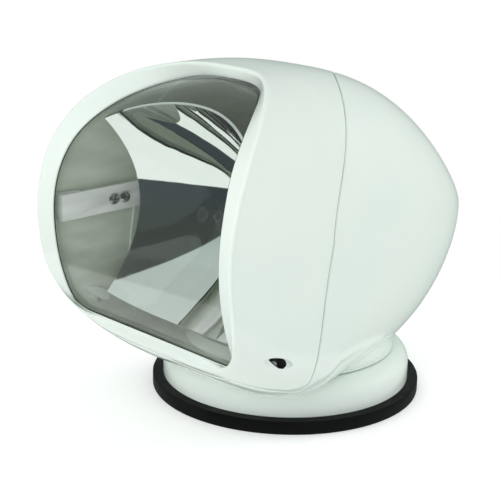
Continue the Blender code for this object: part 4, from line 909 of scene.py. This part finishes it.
class SEARCHLIGHT_OT_front_bezel(PieceOperator):
    """Moulded front of the head: roof, side panels and the rim round the window"""
    bl_idname = "searchlight.front_bezel"
    bl_label = "Front bezel"

    def execute(self, context):
        bezel = skin("head_bezel", *self.rows(settings("head")), wrap=True)
        # The inner rows take the second finish, painted shade inside the head
        dress(bezel, ["white_gelcoat", "inside", "black_moulding"], "head", "white_gelcoat", "front_bezel")
        # The third finish, black, lines the deep part of each screw pocket as painted shade in the hollow
        steps = []
        for _, side in SIDES:
            steps += [("UNION", self.pocket(side, POCKET_WALL, -0.0012)), ("DIFFERENCE", self.scoop(side)),
                      ("DIFFERENCE", self.pocket(side, 0.0, 0.006, painted_shade=True))]
        boolean(bezel, *steps)
        return {"FINISHED"}

    @staticmethod
    def rows(head):
        """Rows from the seam over the side, round the front edge, down the slanted rim to the window,
        and back along the inside, whose first row is named too."""
        angles = section_angles(-1)
        front = front_edge(angles)
        corner = head_surface(angles, front)
        seam_angles, seam = beside_seam(angles, -1, head.gap / 2 + head.seam_edge)
        lip_edge, lip_back = opening(angles), opening(angles, behind=LIP_WALL)
        rim_width = np.linalg.norm(corner - lip_edge, axis=1)[:, None]
        near_edge = np.minimum(head.edge, 0.45 * (seam - front))
        rim_edge, lip = np.minimum(head.edge / rim_width, 0.4), head.lip / rim_width

        rows = []
        for t in np.linspace(0.0, math.pi / 2, 5)[:-1]:
            distance = head.gap / 2 + head.seam_edge * (1 - math.cos(t))
            rows.append(head_inset(*beside_seam(angles, -1, distance), head.seam_edge * (1 - math.sin(t))))
        for t in np.linspace(0.0, 1.0, 40):
            turn = between(seam_angles, angles, min(3.0 * t, 1.0))
            rows.append(head_surface(turn, between(seam, front + near_edge, t)))
        rows += bend(rows[-1], corner, between(corner, lip_edge, rim_edge), 10)[1:]
        for t in np.linspace(0.0, 1.0, 14)[1:]:
            rows.append(between(corner, lip_edge, between(rim_edge, 1.0 - lip, t)))
        rows += bend(rows[-1], lip_edge, lip_back, 6)[1:]
        inside = len(rows)
        inner_front = front + SHELL_WALL
        inner_corner = head_inset(angles, inner_front, SHELL_WALL)
        rows += [between(lip_back, inner_corner, t) for t in (0.1, 0.25, 0.45, 0.7)]
        for t in np.linspace(0.0, 1.0, 20):
            turn = between(angles, seam_angles, max(3.0 * t - 2.0, 0.0))
            rows.append(head_inset(turn, between(inner_front, seam, t), SHELL_WALL))
        return rows, inside

    @staticmethod
    def scoop(side):
        """A shallow hollow round the screw's pocket, which leads into it from the front."""
        depth, length, height = SCOOP_SIZE
        cosine, sine = math.cos(SCOOP_SLANT), math.sin(SCOOP_SLANT)
        rows = []
        for part in np.linspace(0.02, 0.98, 15):
            level = math.cos(part * math.pi)
            size = math.sqrt(1 - level ** 2)
            loop = []
            for turn in np.linspace(0.0, math.tau, 40, endpoint=False):
                a, b = length * size * math.cos(turn), height * size * math.sin(turn)
                loop.append((side * (PANEL_X + depth * level), SCOOP_MIDDLE[0] + a * cosine - b * sine,
                             SCOOP_MIDDLE[1] + a * sine + b * cosine))
            rows.append(loop)
        return closed_skin("scoop_tool", rows)

    @staticmethod
    def pocket(side, grow, top, painted_shade=False):
        """The pocket in which the screw sits, pointed at the front and deepest at the rear. When asked for,
        its walls take the third material, black, as painted shade deep in the hollow."""
        middle = np.array(POCKET_MIDDLE)
        outline = (np.array(POCKET_OUTLINE) - middle) * (1 + grow / POCKET_RADIUS)
        bottom = PANEL_X - POCKET_DEPTH - grow
        levels = ((PANEL_X + top, 1.0), (PANEL_X - 0.0020, 1.0), (bottom + 0.0008, 0.86), (bottom, 0.74))
        rows = [[(side * x, *(middle + point * size)) for point in outline] for x, size in levels]
        tool = closed_skin("pocket_tool", rows)
        # Black walls: painted shade deep in the pocket
        if painted_shade:
            tool.data.polygons.foreach_set("material_index", [2] * len(tool.data.polygons))
        return tool


class SEARCHLIGHT_OT_window(PieceOperator):
    """Clear window over the front, and the thin gasket behind its edge"""
    bl_idname = "searchlight.window"
    bl_label = "Window"

    def execute(self, context):
        angles = np.linspace(-math.pi / 2, math.pi / 2, 182)[1:-1]
        edge = opening(angles, WINDOW_LAP, LIP_WALL + SEAL_GAP)
        rise = edge[:, 2] - TILT_Z
        drop = np.where(rise >= 0, FRONT_RADIUS, FRONT_DROP) - WINDOW_DEPTH
        reach = np.sqrt(1.0 - np.clip(rise / drop, -1, 1) ** 2)
        middle_y = TILT_Y - (FRONT_RADIUS - WINDOW_DEPTH) * reach
        rows = []
        for part in np.linspace(-1.0, 1.0, 33):
            y = between(middle_y, edge[:, 1], abs(part) ** WINDOW_BOW)
            rows.append(np.stack([part * edge[:, 0], y, edge[:, 2]], axis=-1))
        pane = skin("clear_window_pane", rows, closed=False)
        self.point_outwards(pane.data)
        thicken(pane, WINDOW_THICKNESS)
        clean(pane.data)
        dress(pane, ["clear_window"], "head", "clear_window", "window_lens")

        low, high = SEAL_LAPS
        rows = [opening(section_angles(-1), lap, LIP_WALL + back)
                for lap, back in ((low, 0.0), (high, 0.0), (high, SEAL_GAP), (low, SEAL_GAP))]
        seal = skin("window_gasket", rows, wrap=True)
        dress(seal, ["black_rubber"], "head", "black_rubber", "window_seal")
        return {"FINISHED"}

    @staticmethod
    def point_outwards(mesh):
        """Turns an open sheet's faces away from the tilt axis."""
        with editing(mesh) as shape:
            bmesh.ops.recalc_face_normals(shape, faces=shape.faces)
            middle = Vector((0, TILT_Y, TILT_Z))
            if sum((face.calc_center_median() - middle).dot(face.normal) for face in shape.faces) < 0:
                bmesh.ops.reverse_faces(shape, faces=shape.faces)


class SEARCHLIGHT_OT_reflector(PieceOperator):
    """Square parabolic mirror, cut back to the cylinder in which it tilts"""
    bl_idname = "searchlight.reflector"
    bl_label = "Reflector"

    def execute(self, context):
        sheet = new_object("parabolic_mirror_shell")
        run_tree(sheet, self.tree(), {
            "Half Width": REFLECTOR_HALF_WIDTH, "Reach": REFLECTOR_REACH, "Focal Length": FOCAL_LENGTH,
            "Setback": VERTEX_SETBACK, "Finish": finish("mirror")})
        place = Matrix.Translation((0, VERTEX_Y, TILT_Z))
        sheet.data.transform(place)
        thicken(sheet, REFLECTOR_WALL)
        place = place @ Matrix.Rotation(math.radians(-90), 4, "X")
        near, far = HOLE_ENDS
        hole = [(0.0, near), (LAMP_HOLE, near), (LAMP_HOLE, far), (0.0, far)]
        boolean(sheet, ("DIFFERENCE", turned("lamp_hole", hole, 64, place)))
        near, far = NECK_ENDS
        profile = [(LAMP_HOLE, near), (LAMP_NECK, near), (LAMP_NECK, far), (LAMP_HOLE, far)]
        neck = turned("lamp_neck", profile, 64, place)
        with editing(sheet.data) as shape:
            shape.from_mesh(neck.data)
        bpy.data.objects.remove(neck, do_unlink=True)
        smooth(sheet.data, 35.0)
        sheet.data.materials.clear()
        dress(sheet, ["mirror"], "tilt", "mirror", "reflector")
        return {"FINISHED"}

    @staticmethod
    def tree():
        """A square grid bent to the paraboloid, its height trimmed column by column."""
        sizes = ("Half Width", "Reach", "Focal Length", "Setback")
        g, inputs = geometry_tree("paraboloid", {**dict.fromkeys(sizes, "Float"), "Finish": "Material"})
        half_width, reach, focal, setback, material = inputs
        sheet = g.node("GeometryNodeMeshGrid", {"Size X": 2.0, "Size Y": 2.0, "Vertices X": 97,
                                                "Vertices Y": 97})
        across, up, _ = g.split(g.node("GeometryNodeInputPosition"))
        x = across * half_width
        x_squared = x * x
        span = focal * 4.0
        half_sum = focal * 2.0 - setback
        rest = setback * setback - x_squared - reach * reach
        depth = (half_sum * half_sum - rest).root() - half_sum
        z = up * (span * depth - x_squared).root()
        y = (x_squared + z * z) / (span * -1.0)
        bent = g.node("GeometryNodeSetPosition", {
            "Geometry": sheet, "Position": g.node("ShaderNodeCombineXYZ", {0: x, 1: y, 2: z})})
        return end_geometry(g, bent, material)


class SEARCHLIGHT_OT_pivots(PieceOperator):
    """Arms on the inner side walls that carry the lamp's pivots, with their bushes"""
    bl_idname = "searchlight.pivots"
    bl_label = "Pivot arms"

    def execute(self, context):
        for label, _ in SIDES:
            node = "pivot_bracket_" + label
            dress(self.rounded_copy(node, "pivot_arm_" + label), ["pale_moulding"], "head", "grey_moulding",
                  node)
        return {"FINISHED"}

    @staticmethod
    def rounded_copy(node, name):
        """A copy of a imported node's mesh with doubles merged and its edges rounded."""
        mesh = NODES[node].data.copy()
        mesh.materials.clear()
        with editing(mesh) as shape:
            bmesh.ops.remove_doubles(shape, verts=shape.verts, dist=0.000005)
            bmesh.ops.dissolve_limit(shape, angle_limit=math.radians(1.0), verts=shape.verts,
                                     edges=shape.edges)
        obj = new_object(name, mesh)
        rounding = obj.modifiers.new("rounded_edges", "BEVEL")
        rounding.width = 0.0008
        rounding.segments = 2
        rounding.limit_method = "ANGLE"
        rounding.angle_limit = math.radians(30)
        settle(obj)
        smooth(obj.data, 50.0)
        return obj


class SEARCHLIGHT_OT_screws(PieceOperator):
    """Cross-head screws that show: in the side panels, the pivot arms and under the base"""
    bl_idname = "searchlight.screws"
    bl_label = "Screws"

    def execute(self, context):
        panel, arm, base = [], [], []
        for label, side in SIDES:
            turn = (0.5, side * math.pi / 2, 0.0)
            panel.append(self.seat(f"bezel_screw_{label}", 0, side, PANEL_SCREW, turn))
            for number in (1, 2):
                turn = (0.3 * number, -side * math.pi / 2, 0.0)
                arm.append(self.seat(f"bracket_screw_{label}_{number}", 0, -side, ARM_SCREW, turn))
        for number in (1, 2, 3):
            turn = (math.pi, 0.0, 0.4 * number)
            base.append(self.seat(f"base_screw_{number}", 2, -1, BASE_SCREW, turn))
        tree = self.tree()
        for name, body, seats, (radius, height, _) in (("panel_screws", "head", panel, PANEL_SCREW),
                                                       ("arm_screws", "head", arm, ARM_SCREW),
                                                       ("base_screws", "base", base, BASE_SCREW)):
            nodes, points, turns = zip(*seats)
            screws = new_object(name)
            screws.data.from_pydata(points, [], [])
            attribute = screws.data.attributes.new("turn", "FLOAT_VECTOR", "POINT")
            for item, turn in zip(attribute.data, turns):
                item.vector = turn
            pattern = self.pattern(radius, height)
            run_tree(screws, tree, {"Screw": pattern, "Size": 1.0, "Finish": finish("stainless")})
            bpy.data.objects.remove(pattern, do_unlink=True)
            smooth(screws.data, 40.0)
            dress(screws, [], body, "stainless", *nodes)
        return {"FINISHED"}

    @staticmethod
    def seat(node, axis, end, sizes, turn):
        """A screw's node, the place of its head, which lies in from one end of the node, and its turn."""
        low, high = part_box(node)
        place = (low + high) / 2
        place[axis] = (high if end > 0 else low)[axis] - end * sizes[2]
        return node, tuple(place), turn

    @staticmethod
    def pattern(radius, height):
        """A pan-head screw with a cross recess, along +Z, seated at the origin."""
        dome = [(0.0, height)]
        dome += [(radius * math.sin(t), height * (0.35 + 0.65 * math.cos(t) ** 0.8))
                 for t in np.linspace(0.15, 1.45, 7)]
        head = turned("screw_head", dome + [(radius, 0.3 * height), (radius, 0.0), (0.0, 0.0)], 28)
        for turn in (0.0, 90.0):
            arm = new_object("cross_arm")
            with editing(arm.data) as shape:
                size = Matrix.Diagonal((1.24 * radius, 0.26 * radius, 1.05 * height, 1.0))
                bmesh.ops.create_cube(shape, size=1.0, matrix=size)
                bmesh.ops.bevel(shape, geom=shape.edges[:], offset=0.05 * radius, segments=1,
                                affect="EDGES", profile=0.5)
            arm.data.transform(Matrix.Rotation(math.radians(turn), 4, "Z")
                               @ Matrix.Translation((0.0, 0.0, 0.875 * height)))
            boolean(head, ("DIFFERENCE", arm))
        return head

    @staticmethod
    def tree():
        """Sets a screw on every point, turned by the point's own attribute."""
        g, (points, screw, size, material) = geometry_tree("set_screws", {
            "Geometry": "Geometry", "Screw": "Object", "Size": "Float", "Finish": "Material"})
        head = g.node("GeometryNodeObjectInfo", {"Object": screw}, "Geometry")
        turn = g.node("GeometryNodeInputNamedAttribute", {"Name": "turn"}, data_type="FLOAT_VECTOR")
        placed = g.node("GeometryNodeInstanceOnPoints", {"Points": points, "Instance": head,
                                                         "Rotation": turn, "Scale": size})
        return end_geometry(g, placed, material)


class SEARCHLIGHT_OT_stage(PieceOperator):
    """Floor, light and camera"""
    bl_idname = "searchlight.stage"
    bl_label = "Stage"

    def execute(self, context):
        self.make_camera()
        self.make_floor()
        self.make_world()
        self.make_lamps()
        context.scene.view_settings.view_transform = "Standard"
        return {"FINISHED"}

    @staticmethod
    def make_camera():
        """Turned round the object, raised above it and rolled."""
        turn, rise, roll = (math.radians(value) for value in CAMERA_TURNS)
        back = Vector((math.sin(turn) * math.cos(rise), -math.cos(turn) * math.cos(rise), math.sin(rise)))
        right = Vector((math.cos(turn), math.sin(turn), 0.0))
        up = back.cross(right)
        image_right = math.cos(roll) * right + math.sin(roll) * up
        image_up = math.cos(roll) * up - math.sin(roll) * right
        camera = new_object("camera", bpy.data.cameras.new("camera"))
        camera.data.sensor_width = 36.0
        camera.data.lens = CAMERA_LENS
        camera.data.clip_start = 0.01
        place = Vector(CAMERA_TARGET) + CAMERA_DISTANCE * back
        axes = Matrix((image_right, image_up, back)).transposed()
        camera.matrix_world = Matrix.Translation(place) @ axes.to_4x4()
        bpy.context.scene.camera = camera

    @staticmethod
    def make_floor():
        """A pale floor that keeps the shadow near the object and is white to the camera farther out."""
        floor = new_object("studio_floor")
        with editing(floor.data) as shape:
            bmesh.ops.create_circle(shape, cap_ends=True, segments=96, radius=3.0)
        floor.location.z = -0.0001
        material, s = new_finish("studio_floor")
        diffuse = s.node("ShaderNodeBsdfDiffuse", {"Color": (0.86, 0.86, 0.86)})
        camera_ray = s.node("ShaderNodeLightPath", output="Is Camera Ray")
        x, y, _ = s.split(s.node("ShaderNodeTexCoord", output="Object"))
        far = (x * x + y * y).root().step(*FLOOR_FADE)
        glow = s.node("ShaderNodeEmission", {"Color": (1.0, 1.0, 1.0),
                                             "Strength": camera_ray * settings("stage").floor})
        white = s.node("ShaderNodeEmission", {"Color": (1.0, 1.0, 1.0)})
        near = s.node("ShaderNodeAddShader", {0: diffuse, 1: glow})
        mixed = s.node("ShaderNodeMixShader", {0: camera_ray * far, 1: near, 2: white})
        s.end("ShaderNodeOutputMaterial", mixed)
        floor.data.materials.append(material)
        floor.visible_glossy = False

    @staticmethod
    def make_world():
        """White to the camera. What gloss and mirrors see has a white table close by, a dark room
        beyond it in front, and a pale ceiling whose edge runs across."""
        world = bpy.data.worlds.new("studio")
        bpy.context.scene.world = world
        world.use_nodes = True
        s = Nodes(world.node_tree)
        x, y, z = s.split(s.node("ShaderNodeTexCoord", output="Generated"))
        ceiling = (-0.616 * x + 0.357 * y + 0.703 * z).step(-0.03, 0.0)
        table = 1 - z.step(-0.545, -0.525)
        front = 1 - y.step(-0.35, -0.1)
        room = (front * (1 - ceiling) * (1 - table)).clamp()
        gloom = s.mix(z.step(-0.5, 0.4), (0.018, 0.026, 0.033), (0.036, 0.041, 0.035))
        upper = s.mix(z.step(-0.2, 0.9), (0.32, 0.39, 0.36), (0.50, 0.56, 0.53))
        lit = s.mix(table, upper, (0.90, 0.95, 0.90))
        mixed = None
        for ray, colour, strength in ((None, (0.97, 1.0, 0.985), settings("stage").level),
                                      ("Is Glossy Ray", s.mix(room, lit, gloom), 1.0),
                                      ("Is Camera Ray", (1.0, 1.0, 1.0), 1.0)):
            light = s.node("ShaderNodeBackground", {"Color": colour, "Strength": strength})
            seen = ray and s.node("ShaderNodeLightPath", output=ray)
            mixed = s.node("ShaderNodeMixShader", {0: seen, 1: mixed, 2: light}) if ray else light
        s.end("ShaderNodeOutputWorld", mixed)

    @staticmethod
    def make_lamps():
        """Soft square lamps that face the middle of the object."""
        key = settings("stage").key
        for name, place, size, power in (("front_lamp", (-0.5, -1.2, 0.75), 0.9, key),
                                         ("low_lamp", (0.75, -0.95, 0.16), 0.5, 0.42 * key),
                                         ("top_lamp", (0.2, 0.3, 1.5), 1.2, 0.33 * key),
                                         ("rear_lamp", (0.55, 1.3, 0.4), 0.8, 1.25 * key)):
            lamp = new_object(name, bpy.data.lights.new(name, "AREA"))
            lamp.data.energy = power
            lamp.data.size = size
            lamp.location = place
            lamp.rotation_euler = (Vector(place) - Vector((0, 0, 0.1))).to_track_quat("Z", "Y").to_euler()
            lamp.visible_glossy = False


class SEARCHLIGHT_PT_panel(bpy.types.Panel):
    """Lists the searchlight's pieces"""
    bl_idname = "SEARCHLIGHT_PT_panel"
    bl_label = "Searchlight"
    bl_space_type = "VIEW_3D"
    bl_region_type = "UI"
    bl_category = "Searchlight"

    def draw(self, context):
        for kind in GROUPS:
            box = self.layout.box()
            for name in settings(kind).__annotations__:
                box.prop(settings(kind), name)
        for operator in OPERATORS:
            self.layout.operator(operator.bl_idname)


GROUPS = {"head": HeadSizes, "base": BaseSizes, "finish": FinishColours, "stage": StageSettings}
OPERATORS = (
    SEARCHLIGHT_OT_inner_parts,
    SEARCHLIGHT_OT_gasket,
    SEARCHLIGHT_OT_base_housing,
    SEARCHLIGHT_OT_rear_housing,
    SEARCHLIGHT_OT_front_bezel,
    SEARCHLIGHT_OT_window,
    SEARCHLIGHT_OT_reflector,
    SEARCHLIGHT_OT_pivots,
    SEARCHLIGHT_OT_screws,
    SEARCHLIGHT_OT_stage,
)


def register():
    for cls in (*GROUPS.values(), *OPERATORS, SEARCHLIGHT_PT_panel):
        bpy.utils.register_class(cls)
    for kind, cls in GROUPS.items():
        setattr(bpy.types.Scene, "searchlight_" + kind, PointerProperty(type=cls))


def unregister():
    for kind in GROUPS:
        delattr(bpy.types.Scene, "searchlight_" + kind)
    for cls in reversed((*GROUPS.values(), *OPERATORS, SEARCHLIGHT_PT_panel)):
        bpy.utils.unregister_class(cls)


def main():
    register()
    bpy.ops.searchlight.inner_parts()
    bpy.ops.searchlight.gasket()
    bpy.ops.searchlight.base_housing()
    bpy.ops.searchlight.rear_housing()
    bpy.ops.searchlight.front_bezel()
    bpy.ops.searchlight.window()
    bpy.ops.searchlight.reflector()
    bpy.ops.searchlight.pivots()
    bpy.ops.searchlight.screws()
    bpy.ops.searchlight.stage()


if __name__ == "__main__":
    main()
